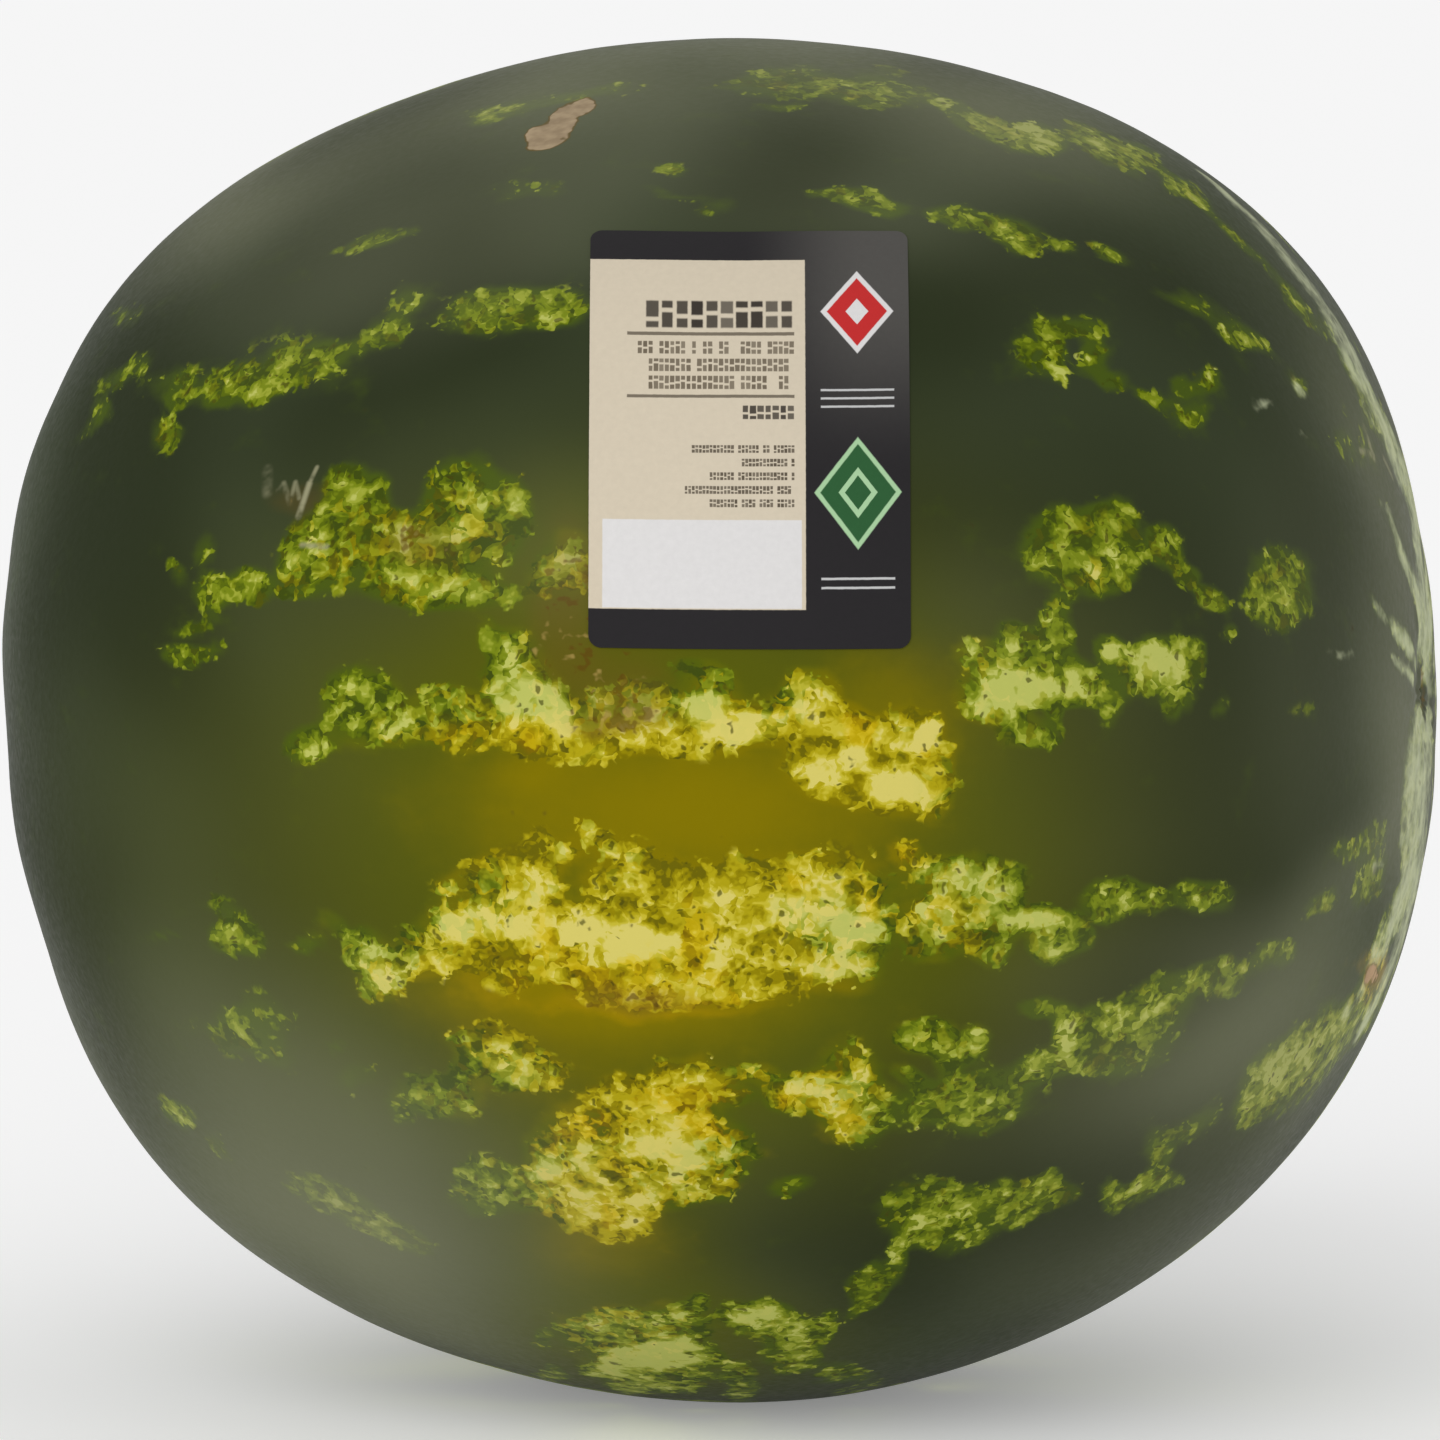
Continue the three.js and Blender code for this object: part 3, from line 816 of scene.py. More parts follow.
# Noises over the rind, by the size of their lumps.
LUMP_SIZE = 24 * MM
LUMP_HEIGHT = 0.22 * MM
PEBBLE_SIZE = 6 * MM
PEBBLE_HEIGHT = 0.035 * MM
MOTTLE_SIZE = 62 * MM
# How far noise moves the edges of marks, the size of its lumps, and its seed.
MARK_WARPS = ((2.2 * MM, 14 * MM, 1.3), (0.9 * MM, 5 * MM, 5.9))

# Relief round the ends, with the distances from the axis between which it starts and ends. Waves
# round the axis, as (how many, reach, shift), make its creases wander.
WANDERING = ((3, 0.5, 1), (5, 0.3, 0))
PUCKERS = 13
PUCKER_WANDERING = 4
PUCKER_HEIGHT = 0.16 * MM
PUCKER_START = (1.5 * MM, 5 * MM)
PUCKER_END = (8 * MM, 24 * MM)
LIP_HEIGHT = 0.55 * MM
LIP_RADIUS = 5.2 * MM
LIP_WIDTH = 1.6 * MM
LIP_UNEVENNESS = 0.4
LIP_HIGH_SIDE = 0.4
RIBS = 8
RIB_WANDERING = 2
RIB_HEIGHT = 0.5 * MM
RIB_START = (5 * MM, 10 * MM)
RIB_END = (14 * MM, 34 * MM)

# Scars round the axis: where their edges start and end, in millimetres from it, and their strength.
SCAR_EDGE = (1.8, 3.6)
RING_START = (2, 3)
RING_END = (3.6, 6)
RING_STRENGTH = 0.5
FOOT_EDGE = (6.5, 10.5)
FOOT_STRENGTH = 0.7
# Softness of a mark's edge, as a share of its size.
MARK_SOFTNESS = 0.8
# A thin streak or scratch fades out between these shares of its half width.
THIN_EDGE = (0.2, 1.8)
# How squarely the skin has to face the front view for marks to show, and for broad colouring.
MARKS_SHOW = (0.0, 0.1)
COLOURING_SHOWS = (-0.5, 0.2)

COAT = ("light", "pale", "cream", "faded", "warm", "ground", "bloom_and_sheen", "golden", "browned", "corky",
        "scar", "mottle")
# Marks on the front: the coat's numbers that they fill, their rows and their softness.
MARK_LAYERS = (
    (("light", "pale"), FRONT_MARKS, MARK_SOFTNESS),
    (("cream",), CREAM, 0.35),
    (("faded",), PALE_SMUDGES, MARK_SOFTNESS),
    (("golden",), GOLDEN, MARK_SOFTNESS),
    (("browned",), BROWNED, MARK_SOFTNESS),
    (("corky",), CORKY_SCARS, 0.5),
)
# The last colouring is the grey veil of waxy bloom and painted sheen.
COLOURING_LAYERS = ((("warm",), WARM_AREA, 1), (("ground",), GROUND_SPOT, 1), (("bloom_and_sheen",), BLOOM_AND_SHEEN, 1))


def lumps(points):
    """Height of the rind's fine unevenness."""
    return (
        LUMP_HEIGHT * noise_at(points, LUMP_SIZE, seed=3.1)
        + PEBBLE_HEIGHT * noise_at(points, PEBBLE_SIZE, seed=7.7)
    )


def end_relief(angle, turn):
    """Fine puckers that run into the blossom scar, and ribs in the stem's basin."""
    radius = np.sin(angle) * HALF_WIDTH
    blossom = np.cos(angle) > 0
    wander = sum(reach * np.sin(count * turn + shift) for count, reach, shift in WANDERING)
    pucker = PUCKER_HEIGHT * np.sin(PUCKERS * turn + PUCKER_WANDERING * wander)
    pucker = pucker * smooth_step(radius, *PUCKER_START) * (1 - smooth_step(radius, *PUCKER_END))
    lip = LIP_HEIGHT * np.exp(-((radius - LIP_RADIUS) / LIP_WIDTH) ** 2)
    lip = lip * (1 + LIP_UNEVENNESS * np.cos(turn - LIP_HIGH_SIDE))
    rib = RIB_HEIGHT * np.sin(RIBS * turn + RIB_WANDERING * wander)
    rib = rib * smooth_step(radius, *RIB_START) * (1 - smooth_step(radius, *RIB_END))
    return np.where(blossom, pucker + lip, rib)


def refine_pole(piece, side, reach):
    """Cut the faces round one end of the axis in four."""
    mesh = piece.data
    for face in mesh.polygons:
        centre = face.center
        face.select = centre.x * side > ON_SIDE and math.hypot(centre.y, centre.z) < reach
    edit(piece, lambda: bpy.ops.mesh.subdivide(number_cuts=1))


def cut_cube(name):
    """A cube in small faces, finest round both ends of the axis."""
    piece = new_primitive(bpy.ops.mesh.primitive_cube_add, name, size=2)
    for pieces in CUBE_PIECES:
        edit(piece, lambda: bpy.ops.mesh.subdivide(number_cuts=pieces - 1))
    deselect(piece)
    select_by(FACES)
    for side, reach in POLE_REFINED:
        refine_pole(piece, side, reach)
        deselect(piece)
    return piece


def lay_out_cube(mesh, cube):
    """The six sides of the cube side by side on one map, in three columns and two rows."""
    corners = corner_vertices(mesh)
    totals = np.empty(len(mesh.polygons), dtype=np.int32)
    mesh.polygons.foreach_get("loop_total", totals)
    starts = np.concatenate(((0,), np.cumsum(totals)[:-1]))
    centres = np.add.reduceat(cube[corners], starts, axis=0) / totals[:, None]
    longest = np.abs(centres).argmax(axis=1)
    axis = np.repeat(longest, totals)
    positive = np.repeat(centres[np.arange(len(totals)), longest] > 0, totals)

    def coordinate(index):
        return np.take_along_axis(cube[corners], (index % 3)[:, None], axis=1)[:, 0]

    first = np.where(positive, coordinate(axis + 1), -coordinate(axis + 1))
    second = coordinate(axis + 2)
    room = 1 - CELL_MARGIN
    across = (axis + 0.5 + 0.5 * first * room) / 3
    up = (positive + 0.5 + 0.5 * second * room) / 2
    set_map(mesh, "OFBake", across, up)


def flatten_underside(points, floor):
    """Press the lowest skin flat, with a soft edge."""
    above = (points[:, 2] - floor) / FLAT_SPOT_ROUNDING
    points[:, 2] = floor + FLAT_SPOT_ROUNDING * np.logaddexp(0, above)
    return points


def front_place(points):
    """How far right and up points show in the front view, in millimetres, and how squarely."""
    depth = CAMERA_DISTANCE - points @ np.array(BACK)
    right = points @ np.array(RIGHT) * CAMERA_DISTANCE / depth + AIM_LEFT
    up = points @ np.array(UP) * CAMERA_DISTANCE / depth + AIM_BELOW
    towards = np.array(BACK) * CAMERA_DISTANCE - points
    towards = towards / np.linalg.norm(towards, axis=1, keepdims=True)
    facing = (outward(points) * towards).sum(axis=1)
    return right / MM, up / MM, facing


def blot(across, up, mark, softness):
    """Strength over a mark: 1 in its middle, a half at its edge, and 0 where its softness ends."""
    x, y, half_length, half_height, slope = mark[:5]
    cosine = math.cos(math.radians(slope))
    sine = math.sin(math.radians(slope))
    along = ((across - x) * cosine + (up - y) * sine) / half_length
    beside = ((up - y) * cosine - (across - x) * sine) / half_height
    return 1 - smooth_step(np.hypot(along, beside), 1 - softness, 1 + softness)


def fill(coat, names, where, shape, strengths):
    """Bring the named numbers of the coat towards 1 by a shape with a strength for each."""
    for name, strength in zip(names, strengths):
        coat[name][where] += (1 - coat[name][where]) * shape * strength


def paint(coat, names, across, up, marks, weight, softness=MARK_SOFTNESS):
    """Fill the named numbers where marks lie; each mark ends with its strengths."""
    for mark in marks:
        half = (1 + softness) * max(mark[2], mark[3])
        near = (np.abs(across - mark[0]) < half) & (np.abs(up - mark[1]) < half) & (weight > 0)
        shape = blot(across[near], up[near], mark, softness) * weight[near]
        fill(coat, names, near, shape, mark[5:])


def seen_on_skin(places):
    """The points on the skin that show at places of the front view, in millimetres."""
    places = np.array(places) * MM
    start = (places[:, :1] - AIM_LEFT) * np.array(RIGHT) + (places[:, 1:2] - AIM_BELOW) * np.array(UP)
    direction = np.array(BACK) - start / CAMERA_DISTANCE
    return onto_skin(start, direction / np.linalg.norm(direction, axis=1, keepdims=True))


def from_path(points, path, half_widths):
    """Distance from a path of points, as a share of its half width there."""
    nearest = np.full(len(points), np.inf)
    for start, end, first, last in zip(path, path[1:], half_widths, half_widths[1:]):
        way = end - start
        share = np.clip((points - start) @ way / (way @ way), 0, 1)
        distance = np.linalg.norm(points - start - share[:, None] * way, axis=1)
        nearest = np.minimum(nearest, distance / (first + share * (last - first)))
    return nearest


def paint_streaks(coat, points, streaks):
    """Streaks along paths that are given as places of the front view."""
    for light, pale, faded, *places in streaks:
        half_widths = [half_width * MM for _, _, half_width in places]
        away = from_path(points, seen_on_skin(places), half_widths)
        shape = 1 - smooth_step(away, *THIN_EDGE)
        fill(coat, ("light", "pale", "faded"), slice(None), shape, (light, pale, faded))


def paint_end_scars(coat, points):
    """Brown and corky rings in the blossom scar and round the stem's foot."""
    angle, _, _ = polar(points)
    from_axis = np.sin(angle) * HALF_WIDTH / MM
    blossom = np.cos(angle) > 0
    coat["scar"] = np.where(blossom, 1 - smooth_step(from_axis, *SCAR_EDGE), 0)
    ring = smooth_step(from_axis, *RING_START) * (1 - smooth_step(from_axis, *RING_END))
    ring = ring * RING_STRENGTH
    foot = (1 - smooth_step(from_axis, *FOOT_EDGE)) * FOOT_STRENGTH
    coat["corky"] = np.maximum(coat["corky"], np.where(blossom, ring, foot))


def draw(rng, ranges):
    """One random number from each range."""
    return tuple(rng.uniform(*ends) for ends in ranges)


def far_patches(rng):
    """Patches along one band: millimetres along the skin and beside the band, then as any mark."""
    marks = []
    place = FAR_START + rng.uniform(*FIRST_PATCH_SHIFT)
    fullness = rng.uniform(*BAND_FULLNESS)
    while place < FAR_END:
        middle = fullness * (1 - (abs(place) / FAR_NARROWING) ** 2)
        cluster = rng.random() < CLUSTER_CHANCE
        half_length = rng.uniform(*(CLUSTER_HALF_LENGTH if cluster else PATCH_HALF_LENGTH))
        half_height = rng.uniform(*(CLUSTER_HALF_HEIGHT if cluster else PATCH_HALF_HEIGHT)) * middle
        beside = rng.uniform(*PATCH_BESIDE) * middle
        strength = rng.choice(PATCH_STRENGTHS)
        paleness = strength * rng.uniform(*PATCH_PALENESS)
        slope = rng.uniform(*PATCH_SLOPE)
        creaminess = rng.uniform(*PATCH_CREAMINESS) if strength > CREAMY_STRENGTH else 0
        marks.append((place, beside, half_length, half_height, slope, strength, paleness, creaminess))
        for _ in range(rng.choice(CRUMB_COUNTS)):
            spread = rng.choice((-1, 1)) * rng.uniform(*CRUMB_BESIDE) * middle
            shifted = place + rng.uniform(*CRUMB_ALONG)
            marks.append((shifted, beside + spread, *draw(rng, CRUMB_RANGES)))
        place += half_length * rng.uniform(*PATCH_STEP)
    return marks


def far_blossom_streaks(rng):
    """Thin streaks that go on from a band to the blossom end and fade there."""
    marks = []
    place = FAR_END
    while place < FAR_STREAK_END:
        strength = rng.uniform(*BLOSSOM_STREAK_STRENGTH)
        shape = draw(rng, BLOSSOM_STREAK_RANGES)
        paleness = strength * rng.uniform(*BLOSSOM_STREAK_PALENESS)
        fading = rng.uniform(*BLOSSOM_STREAK_FADING) * (place - FAR_END) / (FAR_STREAK_END - FAR_END)
        marks.append((place, *shape, strength, paleness, 0, fading))
        place += rng.uniform(*BLOSSOM_STREAK_STEP)
    return marks


def far_stem_streaks(rng):
    """Faint thin streaks that go on from a band to the stem end."""
    marks = []
    place = FAR_START
    while place > FAR_STEM_END:
        strength = rng.uniform(*STEM_STREAK_STRENGTH)
        shape = draw(rng, STEM_STREAK_RANGES)
        paleness = strength * rng.uniform(*STEM_STREAK_PALENESS)
        marks.append((place, *shape, strength, paleness))
        place -= rng.uniform(*STEM_STREAK_STEP)
    return marks


def paint_far_side(coat, points, weight):
    """Bands from end to end, side by side round the part of the skin that the front doesn't show."""
    angle, turn, _ = polar(points)
    along = (math.pi / 2 - angle) * HALF_LENGTH / MM
    from_axis = np.sin(angle) * HALF_WIDTH / MM
    rng = random.Random(FAR_SEED)
    for index in range(FAR_BANDS):
        shift = rng.uniform(-FAR_TURN_SHIFT, FAR_TURN_SHIFT)
        band_turn = FIRST_FAR_TURN + FAR_TURN_SPACING * index + shift
        away = np.remainder(turn - band_turn + math.pi, 2 * math.pi) - math.pi
        marks = far_patches(rng) + far_blossom_streaks(rng) + far_stem_streaks(rng)
        paint(coat, ("light", "pale", "cream", "faded"), along, away * from_axis, marks, weight)


def paint_rind(mesh, points):
    """Give every vertex the strengths that the rind's material turns into colour."""
    coat = {name: np.zeros(len(points)) for name in COAT}
    warped = points
    for reach, size, seed in MARK_WARPS:
        warped = warped + reach * noise_vectors_at(points, size, seed)
    across, up, facing = front_place(warped)
    front = smooth_step(facing, *MARKS_SHOW)
    for names, marks, softness in MARK_LAYERS:
        paint(coat, names, across, up, marks, front, softness)
    paint_far_side(coat, warped, 1 - front)
    paint_streaks(coat, warped, BLOSSOM_STREAKS)
    across, up, facing = front_place(points)
    fading = smooth_step(facing, *COLOURING_SHOWS)
    for names, marks, softness in COLOURING_LAYERS:
        paint(coat, names, across, up, marks, fading, softness)
    paint_end_scars(coat, points)
    mottle = noise_at(points, MOTTLE_SIZE, seed=4.4)
    coat["mottle"] = mottle + 0.5 * noise_at(points, MOTTLE_SIZE / 2, seed=6.1)
    for name, numbers in coat.items():
        set_vertex_numbers(mesh, name, numbers)


def make_rind():
    """The rind over the whole fruit; returns it with the fit that brought it onto the frame."""
    piece = cut_cube("rind")
    mesh = piece.data
    cube = vertex_places(mesh)
    lay_out_cube(mesh, cube)
    # The tangent evens out the sizes of the faces round the fruit.
    directions = np.tan(cube * math.pi / 4)
    angle, turn, _ = polar(directions + np.array((0, 0, 1)) * axis_rise(directions[:, :1]))
    plain = skin_points(angle, turn)
    floor = plain[:, 2].min() + FLAT_SPOT_DEPTH
    skin = skin_points(angle, turn, lumps(plain) + end_relief(angle, turn))
    paint_rind(mesh, skin)
    skin = flatten_underside(skin, floor)
    fit = Fit(skin, "fruit")
    move_vertices(mesh, fit(skin))
    face_outward(piece)
    bpy.ops.object.shade_smooth()
    mesh.materials.append(rind_material(fit))
    return piece, fit


# ---- the sticker ----

STICKER_COLUMNS = 44
STICKER_ROWS = 64
CORNER_CELLS = 5
STICKER_SMOOTHING = math.radians(50)


def edge_spacing(length, cells):
    """Lines across a sheet, close together where the corners are round, from 0 to its length."""
    corner = np.linspace(0, STICKER_CORNER, CORNER_CELLS + 1)
    middle = np.linspace(STICKER_CORNER, length - STICKER_CORNER, cells - 2 * CORNER_CELLS + 1)
    return np.concatenate((corner[:-1], middle, length - corner[::-1][1:]))


def round_corners(across, up, width, height):
    """Pull a rectangle's corners in to quarter circles."""
    inner_x = width / 2 - STICKER_CORNER
    inner_y = height / 2 - STICKER_CORNER
    x = across - width / 2
    y = up - height / 2
    over_x = np.clip(np.abs(x) - inner_x, 0, None) / STICKER_CORNER
    over_y = np.clip(np.abs(y) - inner_y, 0, None) / STICKER_CORNER
    round_x = inner_x + STICKER_CORNER * over_x * np.sqrt(1 - over_y ** 2 / 2)
    round_y = inner_y + STICKER_CORNER * over_y * np.sqrt(1 - over_x ** 2 / 2)
    in_corner = (over_x > 0) & (over_y > 0)
    x = np.where(in_corner, np.sign(x) * round_x, x)
    y = np.where(in_corner, np.sign(y) * round_y, y)
    return x, y + height / 2


def sticker_length():
    """Angle of the sticker's lower edge round the fruit, and its length up to the upper edge."""
    low = math.asin(STICKER_LOW_EDGE / HALF_WIDTH)
    high = math.asin(STICKER_HIGH_EDGE / HALF_WIDTH)
    return low, (high - low) * HALF_WIDTH


def make_sticker(fit):
    """A grid laid on the skin, as thick as paper, with the map that its print is drawn on."""
    low, length = sticker_length()
    piece = new_primitive(bpy.ops.mesh.primitive_grid_add, "sticker", size=2,
                          x_subdivisions=STICKER_COLUMNS, y_subdivisions=STICKER_ROWS)
    mesh = piece.data
    grid = vertex_places(mesh)
    column = np.rint((grid[:, 0] + 1) / 2 * STICKER_COLUMNS).astype(int)
    row = np.rint((grid[:, 1] + 1) / 2 * STICKER_ROWS).astype(int)
    across = edge_spacing(STICKER_WIDTH, STICKER_COLUMNS)[column]
    up = edge_spacing(length, STICKER_ROWS)[row]
    sideways, up = round_corners(across, up, STICKER_WIDTH, length)
    corners = corner_vertices(mesh)
    set_map(mesh, "Print", sideways[corners] / STICKER_WIDTH + 0.5, up[corners] / length)
    height = HALF_WIDTH * np.sin(low + up / HALF_WIDTH)
    along = np.array((math.cos(STICKER_FACING), math.sin(STICKER_FACING), 0))
    start = np.outer(STICKER_SHIFT + sideways, along) + np.outer(height, (0, 0, 1))
    facing = np.array((math.sin(STICKER_FACING), -math.cos(STICKER_FACING), 0))
    skin = onto_skin(start, facing)
    skin = skin + outward(skin) * (lumps(skin) + STICKER_LIFT)[:, None]
    move_vertices(mesh, fit(skin))
    solid = piece.modifiers.new("paper", "SOLIDIFY")
    solid.thickness = STICKER_THICKNESS
    solid.offset = 1
    bpy.ops.object.modifier_apply(modifier="paper")
    bpy.ops.object.shade_smooth_by_angle(angle=STICKER_SMOOTHING)
    mesh.materials.append(sticker_material())
    return piece


# ---- the dried stem ----

STUB_SIDES = 60
STUB_RINGS = 26
STUB_CAP_RINGS = 6
STUB_LENGTH = 7.6 * MM
STUB_FOOT_RADIUS = 6 * MM
STUB_RADIUS = 4.2 * MM
# How quickly the foot narrows, and how far the cut end flares.
FOOT_FALL = 6
STUB_FLARE = 0.35 * MM
FLARE_SHARE = (0.6, 1)
# Ridges down the stub, as (how many, depth, twist).
STUB_RIDGES = ((5, 0.1, 0), (17, 0.035, 5))
# The cut end is sunk in its middle and ragged.
CAP_SHARE = 0.99
CAP_INSET = 0.9
CAP_SUNK = 0.9 * MM
SUNK_RADIUS = (0.15, 0.9)
CAP_RAGGED = 0.5 * MM
CAP_LUMPS = 0.45
STUB_LEAN = 0.8 * MM
BARK_ROUGHNESS = 0.12 * MM
BARK_LUMPS = 1.6 * MM
STUB_SMOOTHING = math.radians(55)


def stub_outline(share, turn):
    """Radius of the stub at a share of its length from the foot."""
    foot = (STUB_FOOT_RADIUS - STUB_RADIUS) * np.exp(-share * FOOT_FALL)
    flare = STUB_FLARE * smooth_step(share, *FLARE_SHARE)
    ridges = sum(depth * np.cos(count * turn + twist * share) for count, depth, twist in STUB_RIDGES)
    return (STUB_RADIUS + foot + flare) * (1 + ridges)


def cut_cylinder(name):
    """A cylinder cut in rings, with rings on its two ends."""
    piece = new_primitive(bpy.ops.mesh.primitive_cylinder_add, name, vertices=STUB_SIDES,
                          radius=1, depth=1, end_fill_type="NGON")
    mesh = piece.data
    select_by(EDGES)
    deselect(piece)
    places = vertex_places(mesh)
    for edge in mesh.edges:
        first, second = edge.vertices
        edge.select = bool(abs(places[first][2] - places[second][2]) > 0.5)
    edit(piece, lambda: bpy.ops.mesh.subdivide(number_cuts=STUB_RINGS))
    select_by(FACES)
    deselect(piece)
    for face in mesh.polygons:
        face.select = len(face.vertices) == STUB_SIDES
    insets = [lambda: bpy.ops.mesh.inset(thickness=CAP_INSET / STUB_CAP_RINGS)] * STUB_CAP_RINGS
    edit(piece, *insets, lambda: bpy.ops.mesh.poke())
    return piece


def make_stub():
    """The dried stem: ridged, wider at its foot, with a sunk and ragged cut end."""
    piece = cut_cylinder("dried_stem")
    mesh = piece.data
    places = vertex_places(mesh)
    share = places[:, 2] + 0.5
    reach = np.hypot(places[:, 0], places[:, 1])
    turn = np.arctan2(places[:, 1], places[:, 0])
    radius = stub_outline(share, turn) * np.clip(reach, 0, 1)
    top = share > CAP_SHARE
    sunk = np.where(top, CAP_SUNK * (1 - smooth_step(reach, *SUNK_RADIUS)), 0)
    ragged = np.where(top, CAP_RAGGED * noise_at(places, CAP_LUMPS, seed=2.2), 0)
    along = share * STUB_LENGTH - sunk + ragged
    lean = STUB_LEAN * share
    points = np.stack((-along, radius * np.cos(turn) - lean, radius * np.sin(turn)), axis=1)
    points = points + BARK_ROUGHNESS * noise_vectors_at(points, BARK_LUMPS, seed=8.4)
    move_vertices(mesh, Fit(points, "stem_stub")(points))
    face_outward(piece)
    bpy.ops.object.shade_smooth_by_angle(angle=STUB_SMOOTHING)
    mesh.materials.append(stub_material())
    return piece


# ---- building materials ----


class Shader:
    """Adds nodes to one tree. A socket's value may be a number, a colour or another socket."""

    def __init__(self, tree):
        self.tree = tree

    def node(self, kind, inputs=None, **settings):
        made = self.tree.nodes.new("ShaderNode" + kind)
        for name, value in settings.items():
            setattr(made, name, value)
        for name, value in (inputs or {}).items():
            self.feed(made.inputs[name], value)
        return made

    def feed(self, socket, value):
        if isinstance(value, bpy.types.NodeSocket):
            self.tree.links.new(value, socket)
        else:
            socket.default_value = value

    def math(self, operation, *values, clamp=False):
        made = self.node("Math", operation=operation, use_clamp=clamp)
        for socket, value in zip(made.inputs, values):
            self.feed(socket, value)
        return made.outputs[0]

    def vector_math(self, operation, *values, output="Vector"):
        made = self.node("VectorMath", operation=operation)
        for socket, value in zip(made.inputs, values):
            self.feed(socket, value)
        return made.outputs[output]

    def varied(self, value, spread, base):
        """A number that follows a value, by a spread on top of a base."""
        return self.math("MULTIPLY_ADD", value, spread, base)

    def product(self, first, *others):
        for other in others:
            first = self.math("MULTIPLY", first, other)
        return first

    def inverse(self, value):
        return self.math("SUBTRACT", 1, value)

    def centred(self, value):
        return self.math("SUBTRACT", value, 0.5)

    def total(self, *terms):
        """Sum of (value, factor) pairs."""
        value, factor = terms[0]
        running = self.math("MULTIPLY", value, factor)
        for value, factor in terms[1:]:
            running = self.math("MULTIPLY_ADD", value, factor, running)
        return running

    def smooth(self, value, low, high):
        made = self.node("MapRange", {"Value": value, "From Min": low, "From Max": high},
                         interpolation_type="SMOOTHSTEP")
        return made.outputs["Result"]

    def mix(self, factor, first, second):
        made = self.node("Mix", data_type="RGBA")
        self.feed(made.inputs[0], factor)
        self.feed(made.inputs[6], first)
        self.feed(made.inputs[7], second)
        return made.outputs[2]

    def place(self, stretch=(1, 1, 1)):
        """Places on the piece in metres; a stretch under 1 draws patterns out along an axis."""
        coordinates = self.node("TexCoord").outputs["Object"]
        return self.node("Mapping", {"Vector": coordinates, "Scale": stretch}).outputs[0]

    def noise(self, place, scale, detail=2.0, roughness=0.5, output="Fac"):
        made = self.node("TexNoise", {"Vector": place, "Scale": scale, "Detail": detail,
                                      "Roughness": roughness})
        return made.outputs[output]

    def number(self, name):
        """One of the numbers that the mesh carries."""
        return self.node("Attribute", attribute_name=name).outputs["Fac"]

    def parts(self, value):
        """A colour's red, green and blue."""
        return self.node("SeparateColor", {"Color": value}).outputs

    def warped(self, place, scale, amount):
        """The place, shifted a little by noise."""
        wobble = self.vector_math("SUBTRACT", self.noise(place, scale, output="Color"), (0.5, 0.5, 0.5))
        return self.vector_math("MULTIPLY_ADD", wobble, (amount, amount, amount), place)

    def group(self, tree, inputs):
        made = self.node("Group", node_tree=tree)
        for name, value in inputs.items():
            self.feed(made.inputs[name], value)
        return made.outputs


def colour(red, green, blue):
    """Linear colour from the eight-bit values that a screen shows."""
    def linear(value):
        share = value / 255
        return share / 12.92 if share <= 0.04045 else ((share + 0.055) / 1.055) ** 2.4
    return (linear(red), linear(green), linear(blue), 1)


def floats(*names):
    """Number sockets for a node group."""
    return tuple((name, "Float") for name in names)


def new_group(name, inputs, outputs):
    """An empty node group; returns its tree, its shader helper, its inputs and its outputs."""
    tree = bpy.data.node_groups.new(name, "ShaderNodeTree")
    for socket_name, kind in inputs:
        tree.interface.new_socket(socket_name, in_out="INPUT", socket_type="NodeSocket" + kind)
    for socket_name, kind in outputs:
        tree.interface.new_socket(socket_name, in_out="OUTPUT", socket_type="NodeSocket" + kind)
    given = tree.nodes.new("NodeGroupInput").outputs
    result = tree.nodes.new("NodeGroupOutput").inputs
    return tree, Shader(tree), given, result


def grain_group():
    """Fine unevenness of a surface: a height for its bump and a roughness that varies with it."""
    tree, shader, given, result = new_group(
        "fine grain",
        (("Place", "Vector"), *floats("Grains per metre", "Roughness", "Spread")),
        floats("Height", "Roughness"),
    )
    grain = shader.noise(given["Place"], given["Grains per metre"], detail=1, roughness=0.6)
    shader.feed(result["Height"], grain)
    uneven = shader.varied(shader.centred(grain), given["Spread"], given["Roughness"])
    shader.feed(result["Roughness"], uneven)
    return tree


def scratch_group():
    """A thin straight mark on a surface, from a start point along a way."""
    tree, shader, given, result = new_group(
        "scratch",
        (("Place", "Vector"), ("Start", "Vector"), ("Way", "Vector"), *floats("Half width")),
        floats("Mask"),
    )
    offset = shader.vector_math("SUBTRACT", given["Place"], given["Start"])
    along = shader.vector_math("DOT_PRODUCT", offset, given["Way"], output="Value")
    length = shader.vector_math("DOT_PRODUCT", given["Way"], given["Way"], output="Value")
    share = shader.math("DIVIDE", along, length, clamp=True)
    reached = shader.node("VectorMath", {"Vector": given["Way"], "Scale": share}, operation="SCALE")
    away = shader.vector_math("DISTANCE", offset, reached.outputs["Vector"], output="Value")
    share = shader.math("DIVIDE", away, given["Half width"])
    shader.feed(result["Mask"], shader.inverse(shader.smooth(share, *THIN_EDGE)))
    return tree


def new_material(name, **gloss):
    """A material with its shader helper and its surface node; gloss sets sockets of that node."""
    material = bpy.data.materials.new(name)
    material.use_nodes = True
    surface = material.node_tree.nodes["Principled BSDF"]
    for socket_name, value in gloss.items():
        surface.inputs[socket_name.replace("_", " ")].default_value = value
    return material, Shader(material.node_tree), surface


def add_grain(shader, surface, place, grains_per_metre, roughness, spread):
    """Give a surface its uneven roughness; returns the height of the same grain."""
    settings = {"Place": place, "Grains per metre": grains_per_metre, "Roughness": roughness,
                "Spread": spread}
    grain = shader.group(GRAIN, settings)
    shader.feed(surface.inputs["Roughness"], grain["Roughness"])
    return grain["Height"]


def add_bump(shader, surface, height, depth):
    bump = shader.node("Bump", {"Height": height, "Distance": depth, "Strength": 1.0})
    shader.feed(surface.inputs["Normal"], bump.outputs["Normal"])


# ---- the rind's colours ----

